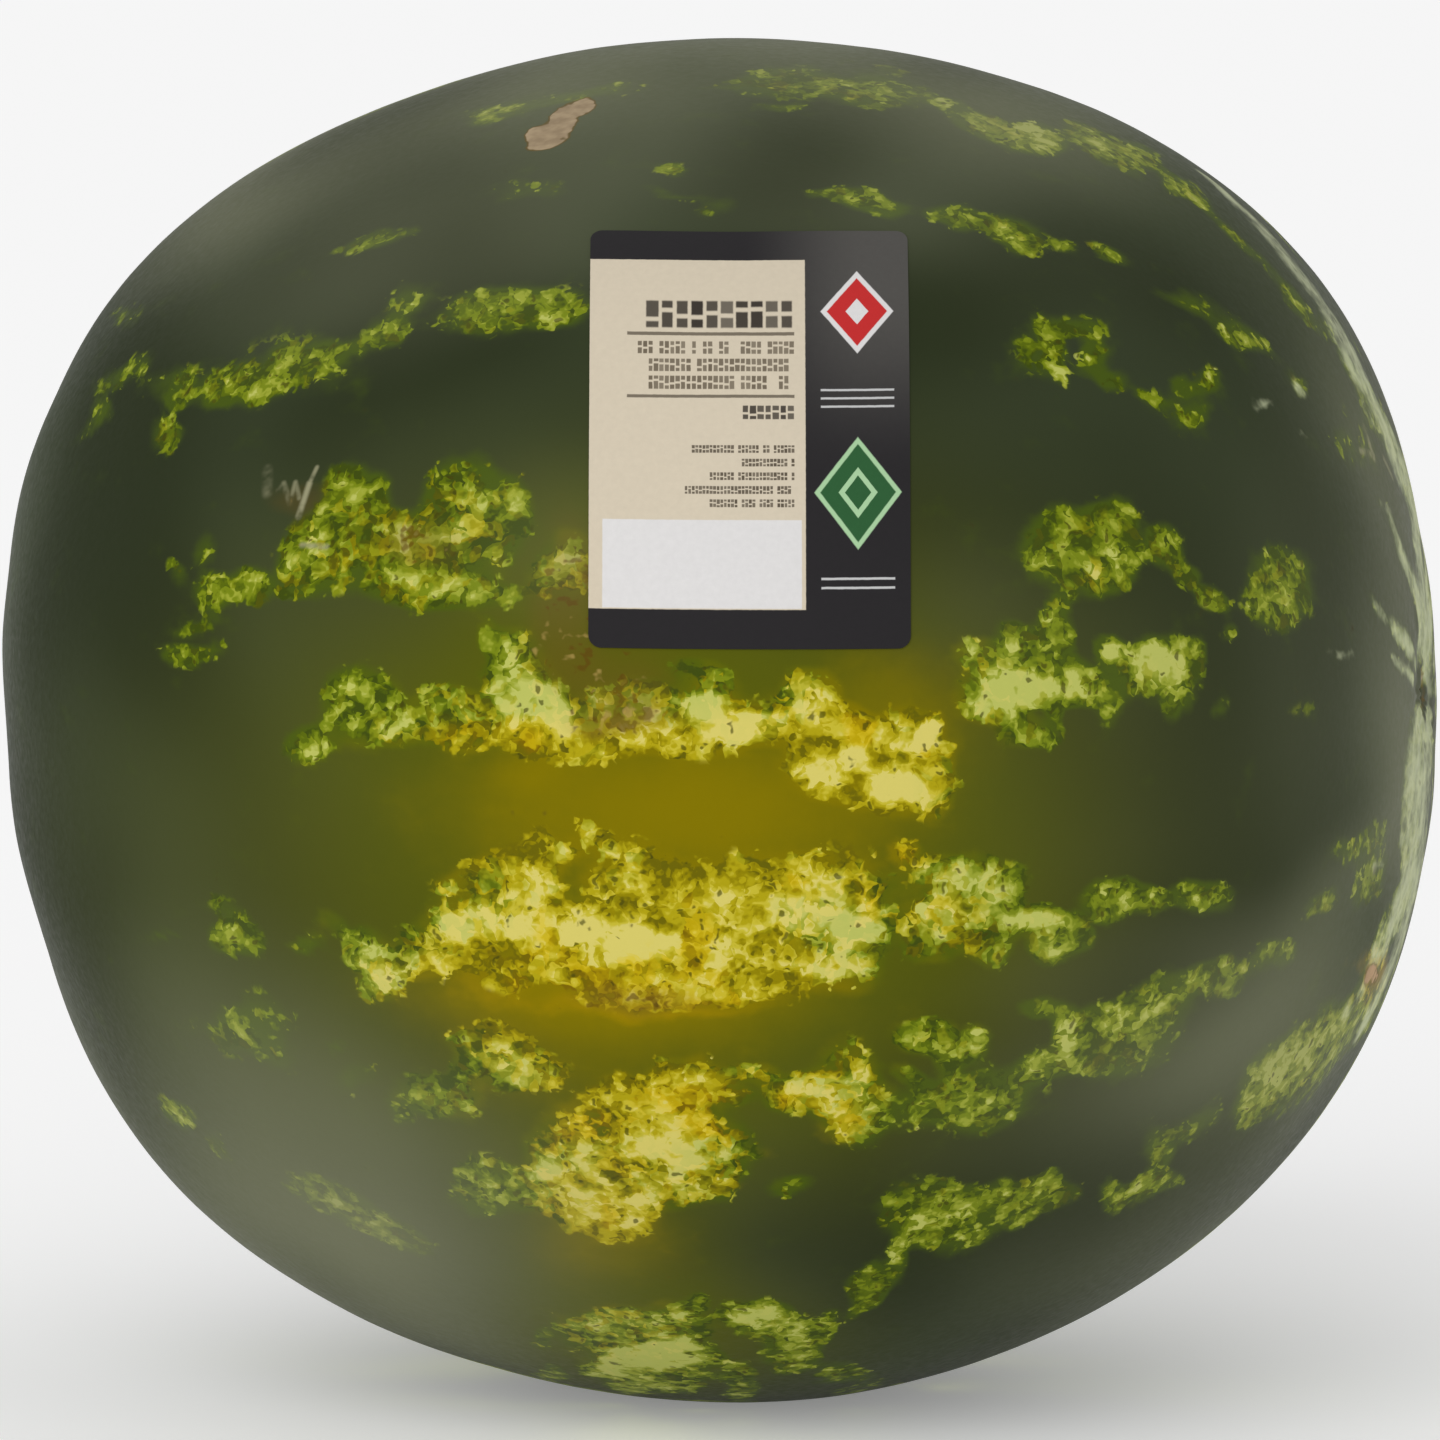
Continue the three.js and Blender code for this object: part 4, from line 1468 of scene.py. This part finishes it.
RIND_GLOSS = 0.035
RIND_STRETCH = (0.85, 1, 1)
# Noises over the rind, as (lumps per metre, detail, roughness).
COARSE_NOISE = (100, 3, 0.65)
FINE_NOISE = (320, 2, 0.6)
PATCHY_NOISE = (140, 2, 0.5)
FLECKS_PER_METRE = 520
# Grain of a surface, as (grains per metre, roughness, spread of the roughness).
RIND_GRAIN = (700, 0.46, 0.25)
RIND_BUMP = 0.05 * MM

DEEP_GREEN = colour(43, 50, 30)
DULL_GREEN = colour(57, 65, 44)
OLIVE = colour(86, 90, 8)
GROUND_YELLOW = colour(128, 114, 0)
GROUND_AMBER = colour(164, 134, 0)
SHADED_GREEN = colour(74, 92, 12)
# Shades inside the patches from dark gaps to cream plates: green, golden and orange ones.
PATCH_SHADES = (
    (colour(62, 75, 16), colour(106, 98, 6), colour(122, 100, 4)),
    (colour(88, 103, 12), colour(142, 129, 4), colour(158, 134, 4)),
    (colour(118, 132, 22), colour(172, 158, 18), colour(184, 160, 10)),
    (colour(152, 161, 52), colour(194, 181, 52), colour(200, 176, 30)),
    (colour(182, 187, 94), colour(210, 198, 104), colour(210, 190, 62)),
)
# Fleck numbers at which one shade gives way to the next.
PATCH_STEPS = (0.29, 0.6, 0.93, 1.24)
PATCH_STEP_SOFTNESS = 0.12
PIT_GREEN = colour(66, 66, 12)
BROWN = colour(108, 82, 30)
DARK_BROWN = colour(92, 66, 14)
PINKISH = colour(186, 156, 88)
CORK = colour(172, 152, 122)
CORK_SHADE = colour(148, 129, 102)
CORK_ORANGE = colour(196, 156, 114)
SCAR_BROWN = colour(62, 48, 28)
SCRATCH_GREY = colour(150, 148, 116)
# Grey of the waxy bloom and of the painted sheen.
BLOOM_AND_SHEEN_GREY = colour(136, 138, 112)
STREAK_PALE = colour(200, 206, 166)

# Ranges over which a colour comes in as its number grows, and how much it covers at most.
DULL_RANGE = (-0.15, 0.15)
WARM_RANGE = (0.0, 1.0)
GROUND_RANGE = (0.05, 0.9)
AMBER_RANGE = (0.3, 1.1)
AMBER_COVER = 0.6
GLOW_RANGE = (0.04, 0.4)
GLOW_COVER = 0.75
YELLOW_RANGE = (0.3, 1.1)
PATCH_EDGE = (0.35, 0.5)
NEAR_LIGHT = (0.03, 0.16)
GOLD_RANGE = (0.08, 0.72)
ORANGE_RANGE = (0.6, 1.1)
VEIN_EDGE = (0.0, 0.04)
BROWN_RANGE = (0.1, 0.8)
BROWN_COVER = 0.38
DARK_DOTS = (0.85, 1.1)
DARK_COVER = 0.7
PINK_DOTS = (1.0, 1.35)
PINK_COVER = 0.5
STREAK_RANGE = (0.12, 0.95)
NEAR_STREAK = (0.05, 0.3)
STREAK_COVER = 0.8
CORK_RIM = (0.3, 0.45)
CORK_RIM_COVER = 0.6
CORK_EDGE = (0.45, 0.62)
CORK_TONES = (-0.15, 0.2)
CORK_ORANGE_COVER = 0.6
SCAR_RANGE = (0.35, 0.7)
SCRATCH_BREAKS = (-0.25, 0.1)
# Bloom and painted sheen follow the mottle: the spread of their strength, then the middle.
BLOOM_AND_SHEEN_PATCHINESS = (1.4, 0.5)
# A share of the flecks has a dark pit in its middle.
PIT_SHARE = 0.18
PIT_EDGE = (0.2, 0.38)
PIT_COVER = 0.75
# How far noise moves the cells of the mosaic, in metres.
CELL_WARP = (0.008, 0.008, 0.008)


def rind_material(fit):
    material, shader, surface = new_material("rind", Specular_IOR_Level=RIND_GLOSS)
    place = shader.place(stretch=RIND_STRETCH)
    coarse = shader.centred(shader.noise(place, *COARSE_NOISE))
    fine = shader.centred(shader.noise(place, *FINE_NOISE))
    patchy = shader.centred(shader.noise(place, *PATCHY_NOISE))
    broad = shader.product(shader.number("mottle"), 0.3)

    skin = ground_colours(shader, broad, coarse)
    skin = patch_colours(shader, skin, coarse, fine, patchy)
    skin = browned_colours(shader, skin, fine)
    # Grey veil of waxy bloom and painted sheen, then the pale streaks.
    skin = bloom_sheen_and_streak_colours(shader, skin, broad, coarse, fine)
    skin = scarred_colours(shader, skin, coarse, fine)
    skin = scratched_colours(shader, skin, fine, fit)
    shader.feed(surface.inputs["Base Color"], skin)

    grain = add_grain(shader, surface, place, *RIND_GRAIN)
    add_bump(shader, surface, grain, RIND_BUMP)
    return material


def ground_colours(shader, broad, coarse):
    """The dark rind between the patches, warmer and yellow where it lay on the ground."""
    dark = shader.mix(shader.smooth(broad, *DULL_RANGE), DEEP_GREEN, DULL_GREEN)
    warm = shader.total((shader.number("warm"), 1.0), (broad, 0.3))
    base = shader.mix(shader.smooth(warm, *WARM_RANGE), dark, OLIVE)
    ground = shader.total((shader.number("ground"), 1.0), (coarse, 0.25))
    base = shader.mix(shader.smooth(ground, *GROUND_RANGE), base, GROUND_YELLOW)
    amber = shader.smooth(shader.total((shader.number("golden"), 1.0), (coarse, 1.5)), *AMBER_RANGE)
    return shader.mix(shader.product(amber, AMBER_COVER), base, GROUND_AMBER)


def patch_colours(shader, skin, coarse, fine, patchy):
    """Light patches with a glow round them."""
    cells, shades = mosaic(shader, coarse, fine, patchy)
    light = shader.number("light")
    glow = shader.smooth(shader.total((light, 1.0), (coarse, 0.5), (patchy, 0.3)), *GLOW_RANGE)
    yellowed = shader.total((shader.number("ground"), 0.9), (shader.number("warm"), 0.7), (patchy, 0.8))
    yellowed = shader.smooth(yellowed, *YELLOW_RANGE)
    glow_colour = shader.mix(yellowed, SHADED_GREEN, GROUND_YELLOW)
    skin = shader.mix(shader.product(glow, GLOW_COVER), skin, glow_colour)
    level = shader.total((light, 1.3), (coarse, 2.4), (fine, 1.4), (shader.centred(shades["Red"]), 0.3))
    flecks = shader.total(
        (shader.number("pale"), 0.82),
        (shader.math("MINIMUM", level, 1.2), 0.25),
        (shader.centred(shades["Red"]), 0.68),
        (patchy, 1.8),
        (fine, 2.1),
        (coarse, 0.5),
        (shader.number("cream"), 0.7),
        (shader.inverse(shader.smooth(shader.math("ABSOLUTE", coarse), *VEIN_EDGE)), 0.25),
        (-0.03, 1.0),
    )
    patch = fleck_colours(shader, flecks, patchy, shader.centred(shades["Green"]), yellowed)
    few = shader.math("LESS_THAN", shades["Blue"], PIT_SHARE)
    pits = shader.inverse(shader.smooth(cells.outputs["Distance"], *PIT_EDGE))
    patch = shader.mix(shader.product(pits, few, PIT_COVER), patch, PIT_GREEN)
    share = shader.product(shader.smooth(level, *PATCH_EDGE), shader.smooth(light, *NEAR_LIGHT))
    return shader.mix(share, skin, patch)


def mosaic(shader, coarse, fine, patchy):
    """Small uneven cells, with a random colour for each."""
    wobble = shader.node("CombineXYZ", {"X": patchy, "Y": coarse, "Z": fine}).outputs["Vector"]
    warped = shader.vector_math("MULTIPLY_ADD", wobble, CELL_WARP, shader.place())
    cells = shader.node("TexVoronoi", {"Vector": warped, "Scale": FLECKS_PER_METRE}, feature="F1")
    return cells, shader.parts(cells.outputs["Color"])


def fleck_colours(shader, flecks, patchy, chance, yellowed):
    """The shade of each fleck from dark to cream, golden or orange in places."""
    gold = shader.number("golden")
    golden = shader.total((gold, 0.8), (yellowed, 0.7), (patchy, -0.5), (chance, 0.5))
    golden = shader.smooth(golden, *GOLD_RANGE)
    orange = shader.smooth(shader.total((gold, 1.0), (patchy, -1.2), (chance, 0.4)), *ORANGE_RANGE)
    darkest, *lighter = (
        shader.mix(orange, shader.mix(golden, green, yellow), amber)
        for green, yellow, amber in PATCH_SHADES
    )
    patch = darkest
    for step, shade in zip(PATCH_STEPS, lighter):
        above = shader.smooth(flecks, step - PATCH_STEP_SOFTNESS, step + PATCH_STEP_SOFTNESS)
        patch = shader.mix(above, patch, shade)
    return patch


def bloom_sheen_and_streak_colours(shader, skin, broad, coarse, fine):
    """Grey veil of waxy bloom and painted sheen, and the pale streaks into the blossom end."""
    patchiness = shader.varied(broad, *BLOOM_AND_SHEEN_PATCHINESS)
    bloom_and_sheen = shader.math("MULTIPLY", shader.number("bloom_and_sheen"), patchiness, clamp=True)
    skin = shader.mix(bloom_and_sheen, skin, BLOOM_AND_SHEEN_GREY)
    streak = shader.number("faded")
    faded = shader.smooth(shader.total((streak, 1.0), (coarse, 1.5), (fine, 0.8)), *STREAK_RANGE)
    faded = shader.product(faded, shader.smooth(streak, *NEAR_STREAK))
    return shader.mix(shader.product(faded, STREAK_COVER), skin, STREAK_PALE)


def browned_colours(shader, skin, fine):
    """Places rubbed brown, with darker and pinkish dots."""
    browned = shader.number("browned")
    tint = shader.product(shader.smooth(browned, *BROWN_RANGE), BROWN_COVER)
    skin = shader.mix(tint, skin, BROWN)
    dark = shader.smooth(shader.total((browned, 1.0), (fine, 3.0)), *DARK_DOTS)
    skin = shader.mix(shader.product(dark, DARK_COVER), skin, DARK_BROWN)
    pinkish = shader.smooth(shader.total((browned, 1.0), (fine, -3.0)), *PINK_DOTS)
    return shader.mix(shader.product(pinkish, PINK_COVER), skin, PINKISH)


def scarred_colours(shader, skin, coarse, fine):
    """Healed corky scars with a brown edge, and the dark scar at the blossom end."""
    uneven = shader.total((coarse, 2.5), (fine, 1.4), (1.0, 1.0))
    corky = shader.product(shader.number("corky"), uneven)
    skin = shader.mix(shader.product(shader.smooth(corky, *CORK_RIM), CORK_RIM_COVER), skin, BROWN)
    cork = shader.mix(shader.smooth(fine, *CORK_TONES), CORK_SHADE, CORK)
    cork = shader.mix(shader.product(shader.number("golden"), CORK_ORANGE_COVER), cork, CORK_ORANGE)
    skin = shader.mix(shader.smooth(corky, *CORK_EDGE), skin, cork)
    scar = shader.total((shader.number("scar"), 1.0), (coarse, 1.2), (fine, 1.0))
    return shader.mix(shader.smooth(scar, *SCAR_RANGE), skin, SCAR_BROWN)


def scratched_colours(shader, skin, fine, fit):
    """Thin grey scratches, broken by noise."""
    place = shader.place()
    scratched = 0.0
    for scratch in SCRATCHES:
        start, end = (Vector(point) for point in fit(seen_on_skin((scratch[:2], scratch[2:4]))))
        settings = {"Place": place, "Start": start, "Way": end - start, "Half width": scratch[4] * MM}
        mask = shader.product(shader.group(SCRATCH, settings)["Mask"], scratch[5])
        scratched = shader.math("MAXIMUM", mask, scratched)
    broken = shader.smooth(fine, *SCRATCH_BREAKS)
    return shader.mix(shader.product(scratched, broken), skin, SCRATCH_GREY)


# ---- the sticker's print ----

CHARCOAL = colour(38, 36, 38)
PANEL_CREAM = colour(212, 200, 178)
LABEL_WHITE = colour(222, 220, 219)
INK = colour(52, 46, 40)
FAINT_INK = colour(112, 101, 84)
SMALL_INK = colour(92, 82, 68)
# Charcoal lightened by a painted sheen.
CHARCOAL_SHEEN = colour(88, 86, 82)
STRIPE_GREY = colour(196, 196, 196)
LOZENGE_RED = colour(196, 44, 44)
LOZENGE_GREEN = colour(44, 92, 52)
LOZENGE_PALE = colour(168, 206, 160)

# Places on the print are millimetres from its left and lower edges: left, right, bottom, top.
CREAM_PANEL = (0, 37.8, 6.8, 73.7)
WHITE_BOX = (2.4, 37.1, 7.0, 22.6)
RULES = ((6.6, 35.9, 57.6, 58.3), (6.6, 35.9, 45.2, 45.8))
# Rows of plain blocks that end at the right margin, as (blocks, pitch, bottom, top, ink).
HEADING = (10, 2.62, 59.2, 64.8, INK)
TEXT_ROWS = (
    (29, 0.95, 53.9, 56.4, FAINT_INK),
    (27, 0.95, 50.4, 52.9, FAINT_INK),
    (27, 0.95, 46.9, 49.5, FAINT_INK),
    (7, 1.32, 41.1, 43.7, INK),
    (29, 0.62, 34.8, 36.2, SMALL_INK),
    (15, 0.62, 32.3, 33.7, SMALL_INK),
    (24, 0.62, 29.8, 31.2, SMALL_INK),
    (31, 0.62, 27.3, 28.7, SMALL_INK),
    (24, 0.62, 24.9, 26.3, SMALL_INK),
)
TEXT_RIGHT = 35.9
# Share of blocks left out, as between words.
WORD_GAPS = 0.13
# A block's numbers are shares of its row, with the spread of each before its least value.
ROW_SEED_STEP = 31.7
BLOCK_HALF_WIDTH = (0.1, 0.34)
BLOCK_ENDS = (0.46, 0.54)
CUT_HEIGHT = (0.4, 0.3)
CUT_EDGE = (0.04, 0.12)
INK_TONE = (0.2, 0.8)
# Lozenges down the dark column, as (middle, height, half width, half height, colour).
LOZENGES = (
    (46.9, 62.5, 6.4, 8.6, LABEL_WHITE),
    (46.9, 62.5, 5.3, 7.1, LOZENGE_RED),
    (46.9, 62.5, 2.0, 2.7, LABEL_WHITE),
    (46.9, 27.5, 7.6, 10.2, LOZENGE_PALE),
    (46.9, 27.5, 6.6, 8.9, LOZENGE_GREEN),
    (46.9, 27.5, 3.4, 4.6, LOZENGE_PALE),
    (46.9, 27.5, 2.3, 3.1, LOZENGE_GREEN),
)
STRIPES = ((40.5, 53.3, 46.5, 46.9), (40.5, 53.3, 44.9, 45.3), (40.5, 53.3, 43.3, 43.7),
           (40.5, 53.3, 12.0, 12.4), (40.5, 53.3, 10.4, 10.8))
RULE_COVER = 0.85
# How sharp edges of boxes, blocks and lozenges are.
BOX_SHARPNESS = 8
BLOCK_SHARPNESS = 12
LOZENGE_SHARPNESS = 30
# Noise that makes the edges of the ink uneven: lumps per millimetre and reach in millimetres.
INK_SMEAR = (0.9, 0.12)
# A painted sheen makes the dark column paler between these places across and up.
SHEEN_ACROSS = (26, 50)
SHEEN_UP = (30, 68)
SHEEN_COVER = 0.8
PAPER_GLOSS = 0.15
PAPER_FIBRES = (900, 3, 0.6)
PAPER_BRIGHTNESS = (0.12, 0.9)
PAPER_GRAIN = (1600, 0.42, 0.12)
PAPER_BUMP = 0.02 * MM


def box_group():
    """A filled rectangle on the print."""
    tree, shader, given, result = new_group(
        "printed box", floats("Across", "Up", "Left", "Right", "Bottom", "Top"), floats("Mask"),
    )
    sides = (
        shader.math("SUBTRACT", given["Across"], given["Left"]),
        shader.math("SUBTRACT", given["Right"], given["Across"]),
        shader.math("SUBTRACT", given["Up"], given["Bottom"]),
        shader.math("SUBTRACT", given["Top"], given["Up"]),
    )
    horizontal = shader.math("MINIMUM", sides[0], sides[1])
    vertical = shader.math("MINIMUM", sides[2], sides[3])
    inside = shader.math("MINIMUM", horizontal, vertical)
    shader.feed(result["Mask"], shader.math("MULTIPLY_ADD", inside, BOX_SHARPNESS, 0.5, clamp=True))
    return tree


def blocks_group():
    """A row of plain upright blocks of ink, each cut across once, with gaps as between words."""
    tree, shader, given, result = new_group(
        "ink blocks",
        floats("Across", "Up", "Right", "Blocks", "Pitch", "Bottom", "Top", "Row", "Gaps"),
        floats("Mask"),
    )
    place = shader.math("SUBTRACT", given["Right"], given["Across"])
    place = shader.math("DIVIDE", place, given["Pitch"])
    seed = shader.math("MULTIPLY_ADD", given["Row"], ROW_SEED_STEP, shader.math("FLOOR", place))
    chance = shader.node("TexWhiteNoise", {"W": seed}, noise_dimensions="1D").outputs
    shade = shader.parts(chance["Color"])
    middle = shader.math("ABSOLUTE", shader.centred(shader.math("FRACT", place)))
    half_width = shader.varied(shade["Green"], *BLOCK_HALF_WIDTH)
    inside = shader.math("SUBTRACT", half_width, middle)
    upright = shader.math("MULTIPLY_ADD", inside, BLOCK_SHARPNESS, 0.5, clamp=True)
    height = shader.math("SUBTRACT", given["Up"], given["Bottom"])
    height = shader.math("DIVIDE", height, shader.math("SUBTRACT", given["Top"], given["Bottom"]))
    cut = shader.math("SUBTRACT", height, shader.varied(shade["Blue"], *CUT_HEIGHT))
    cut = shader.smooth(shader.math("ABSOLUTE", cut), *CUT_EDGE)
    level = shader.math("ABSOLUTE", shader.centred(height))
    ends = shader.inverse(shader.smooth(level, *BLOCK_ENDS))
    solid = shader.product(upright, cut, ends)
    started = shader.math("GREATER_THAN", place, 0)
    within = shader.product(started, shader.math("LESS_THAN", place, given["Blocks"]))
    word = shader.product(shader.math("GREATER_THAN", chance["Value"], given["Gaps"]), within)
    tone = shader.varied(shade["Red"], *INK_TONE)
    shader.feed(result["Mask"], shader.product(solid, word, tone))
    return tree


def lozenge_group():
    """A filled lozenge on the print."""
    tree, shader, given, result = new_group(
        "printed lozenge",
        floats("Across", "Up", "Middle", "Height", "Half width", "Half height"),
        floats("Mask"),
    )
    sideways = shader.math("ABSOLUTE", shader.math("SUBTRACT", given["Across"], given["Middle"]))
    upward = shader.math("ABSOLUTE", shader.math("SUBTRACT", given["Up"], given["Height"]))
    reach = shader.math("ADD", shader.math("DIVIDE", sideways, given["Half width"]),
                        shader.math("DIVIDE", upward, given["Half height"]))
    inside = shader.inverse(reach)
    mask = shader.math("MULTIPLY_ADD", inside, LOZENGE_SHARPNESS, 0.5, clamp=True)
    shader.feed(result["Mask"], mask)
    return tree


def print_place(shader):
    """Where a point lies on the print, in millimetres, with a little smear."""
    _, length = sticker_length()
    spot = shader.node("UVMap", uv_map="Print").outputs["UV"]
    size = (STICKER_WIDTH / MM, length / MM, 1)
    spot = shader.node("Mapping", {"Vector": spot, "Scale": size}).outputs[0]
    split = shader.node("SeparateXYZ", {"Vector": shader.warped(spot, *INK_SMEAR)}).outputs
    return {"Across": split["X"], "Up": split["Y"]}


# The dark column, paler towards its upper right where a sheen of reflected light is painted in.
def black_with_painted_sheen(shader, where):
    across = shader.smooth(where["Across"], *SHEEN_ACROSS)
    sheen = shader.product(across, shader.smooth(where["Up"], *SHEEN_UP))
    return shader.mix(shader.product(sheen, SHEEN_COVER), CHARCOAL, CHARCOAL_SHEEN)


def printed_colours(shader, where):
    """The panel, the white box, bars and blocks that say nothing, stripes and lozenges."""

    def box(left, right, bottom, top):
        sides = {"Left": left, "Right": right, "Bottom": bottom, "Top": top}
        return shader.group(BOX, {**where, **sides})["Mask"]

    def blocks(row, gaps, count, pitch, bottom, top):
        sizes = {"Blocks": count, "Pitch": pitch, "Bottom": bottom, "Top": top}
        rest = {"Right": TEXT_RIGHT, "Row": row, "Gaps": gaps}
        return shader.group(BLOCKS, {**where, **sizes, **rest})["Mask"]

    def lozenge(middle, height, half_width, half_height):
        sizes = {"Middle": middle, "Height": height, "Half width": half_width,
                 "Half height": half_height}
        return shader.group(LOZENGE, {**where, **sizes})["Mask"]

    printed = shader.mix(box(*CREAM_PANEL), black_with_painted_sheen(shader, where), PANEL_CREAM)
    printed = shader.mix(box(*WHITE_BOX), printed, LABEL_WHITE)
    for rule in RULES:
        printed = shader.mix(shader.product(box(*rule), RULE_COVER), printed, SMALL_INK)
    *heading, ink = HEADING
    printed = shader.mix(blocks(0, -1, *heading), printed, ink)
    for row, (*sizes, ink) in enumerate(TEXT_ROWS, start=1):
        printed = shader.mix(blocks(row, WORD_GAPS, *sizes), printed, ink)
    for stripe in STRIPES:
        printed = shader.mix(box(*stripe), printed, STRIPE_GREY)
    for *sizes, tint in LOZENGES:
        printed = shader.mix(lozenge(*sizes), printed, tint)
    return printed


def sticker_material():
    material, shader, surface = new_material("printed paper", Specular_IOR_Level=PAPER_GLOSS)
    place = shader.place()
    printed = printed_colours(shader, print_place(shader))
    brightness = shader.varied(shader.noise(place, *PAPER_FIBRES), *PAPER_BRIGHTNESS)
    toned = shader.node("HueSaturation", {"Color": printed, "Value": brightness})
    shader.feed(surface.inputs["Base Color"], toned.outputs["Color"])
    grain = add_grain(shader, surface, place, *PAPER_GRAIN)
    add_bump(shader, surface, grain, PAPER_BUMP)
    return material


# ---- the stem's colours ----

STEM_GLOSS = 0.2
STEM_STRETCH = (0.2, 1, 1)
STEM_FIBRES = (1400, 4, 0.65)
STEM_MOTTLING = (500, 3, 0.6)
STEM_GRAIN = (1800, 0.8, 0.2)
STEM_BUMP = 0.25 * MM
BARK_TONES = (0.42, 0.78)
# How squarely a face has to look along the axis to count as the cut end.
CUT_END = (0.7, 0.9)
PITH_COVER = 0.6
BARK_LIGHT = colour(150, 132, 98)
BARK_DARK = colour(84, 66, 44)
PITH = colour(176, 156, 118)


def stub_material():
    material, shader, surface = new_material("dried stem", Specular_IOR_Level=STEM_GLOSS)
    place = shader.place(stretch=STEM_STRETCH)
    fibres = shader.noise(place, *STEM_FIBRES)
    mottling = shader.noise(shader.place(), *STEM_MOTTLING)
    tone = shader.total((fibres, 0.7), (mottling, 0.5))
    bark = shader.mix(shader.smooth(tone, *BARK_TONES), BARK_DARK, BARK_LIGHT)
    facing = shader.node("NewGeometry").outputs["Normal"]
    forward = shader.node("SeparateXYZ", {"Vector": facing}).outputs["X"]
    ended = shader.smooth(shader.product(forward, -1), *CUT_END)
    bark = shader.mix(shader.product(ended, PITH_COVER), bark, PITH)
    shader.feed(surface.inputs["Base Color"], bark)
    grain = add_grain(shader, surface, place, *STEM_GRAIN)
    add_bump(shader, surface, shader.total((fibres, 1.0), (grain, 0.4)), STEM_BUMP)
    return material


# ---- the stage, the lights and the camera ----

FLOOR_SIZE = 40
FLOOR_WHITE = (0.9, 0.9, 0.9, 1)
FLOOR_GLOW = 0.25
SKY_WHITE = (1, 1, 1, 1)
SKY_STRENGTH = 0.6
KEY_STRENGTH = 1.15
KEY_SPREAD = math.radians(60)
KEY_AZIMUTH = math.radians(-10)
KEY_ELEVATION = math.radians(28)


def make_floor():
    piece = new_primitive(bpy.ops.mesh.primitive_plane_add, "floor", size=FLOOR_SIZE)
    material, _, surface = new_material("pale floor", Specular_IOR_Level=0.0, Roughness=1.0)
    surface.inputs["Base Color"].default_value = FLOOR_WHITE
    surface.inputs["Emission Color"].default_value = FLOOR_WHITE
    surface.inputs["Emission Strength"].default_value = FLOOR_GLOW
    piece.data.materials.append(material)


def make_lights():
    world = bpy.data.worlds.new("studio")
    bpy.context.scene.world = world
    world.use_nodes = True
    sky = world.node_tree.nodes["Background"].inputs
    sky["Color"].default_value = SKY_WHITE
    sky["Strength"].default_value = SKY_STRENGTH
    light = bpy.data.lights.new("key", "SUN")
    light.energy = KEY_STRENGTH
    light.angle = KEY_SPREAD
    key = bpy.data.objects.new("key", light)
    bpy.context.scene.collection.objects.link(key)
    key.visible_glossy = False
    key.rotation_euler = from_direction(KEY_AZIMUTH, KEY_ELEVATION).to_track_quat("Z", "Y").to_euler()


def make_camera(centre):
    lens = bpy.data.cameras.new("camera")
    lens.lens = CAMERA_LENS
    lens.sensor_width = CAMERA_SENSOR
    camera = bpy.data.objects.new("camera", lens)
    bpy.context.scene.collection.objects.link(camera)
    aim = centre - RIGHT * AIM_LEFT - UP * AIM_BELOW
    camera.location = aim + BACK * CAMERA_DISTANCE
    camera.rotation_euler = BACK.to_track_quat("Z", "Y").to_euler()
    bpy.context.scene.camera = camera


bpy.context.scene.view_settings.view_transform = "Standard"
GRAIN = grain_group()
SCRATCH = scratch_group()
BOX = box_group()
BLOCKS = blocks_group()
LOZENGE = lozenge_group()

rind, onto_fruit = make_rind()
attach(rind, "root")
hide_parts("fruit")

sticker = make_sticker(onto_fruit)
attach(sticker, "root")
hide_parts("label")

stub = make_stub()
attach(stub, "root")
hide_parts("stem_stub")

make_floor()
make_lights()
make_camera(Vector(onto_fruit(np.zeros(3))))
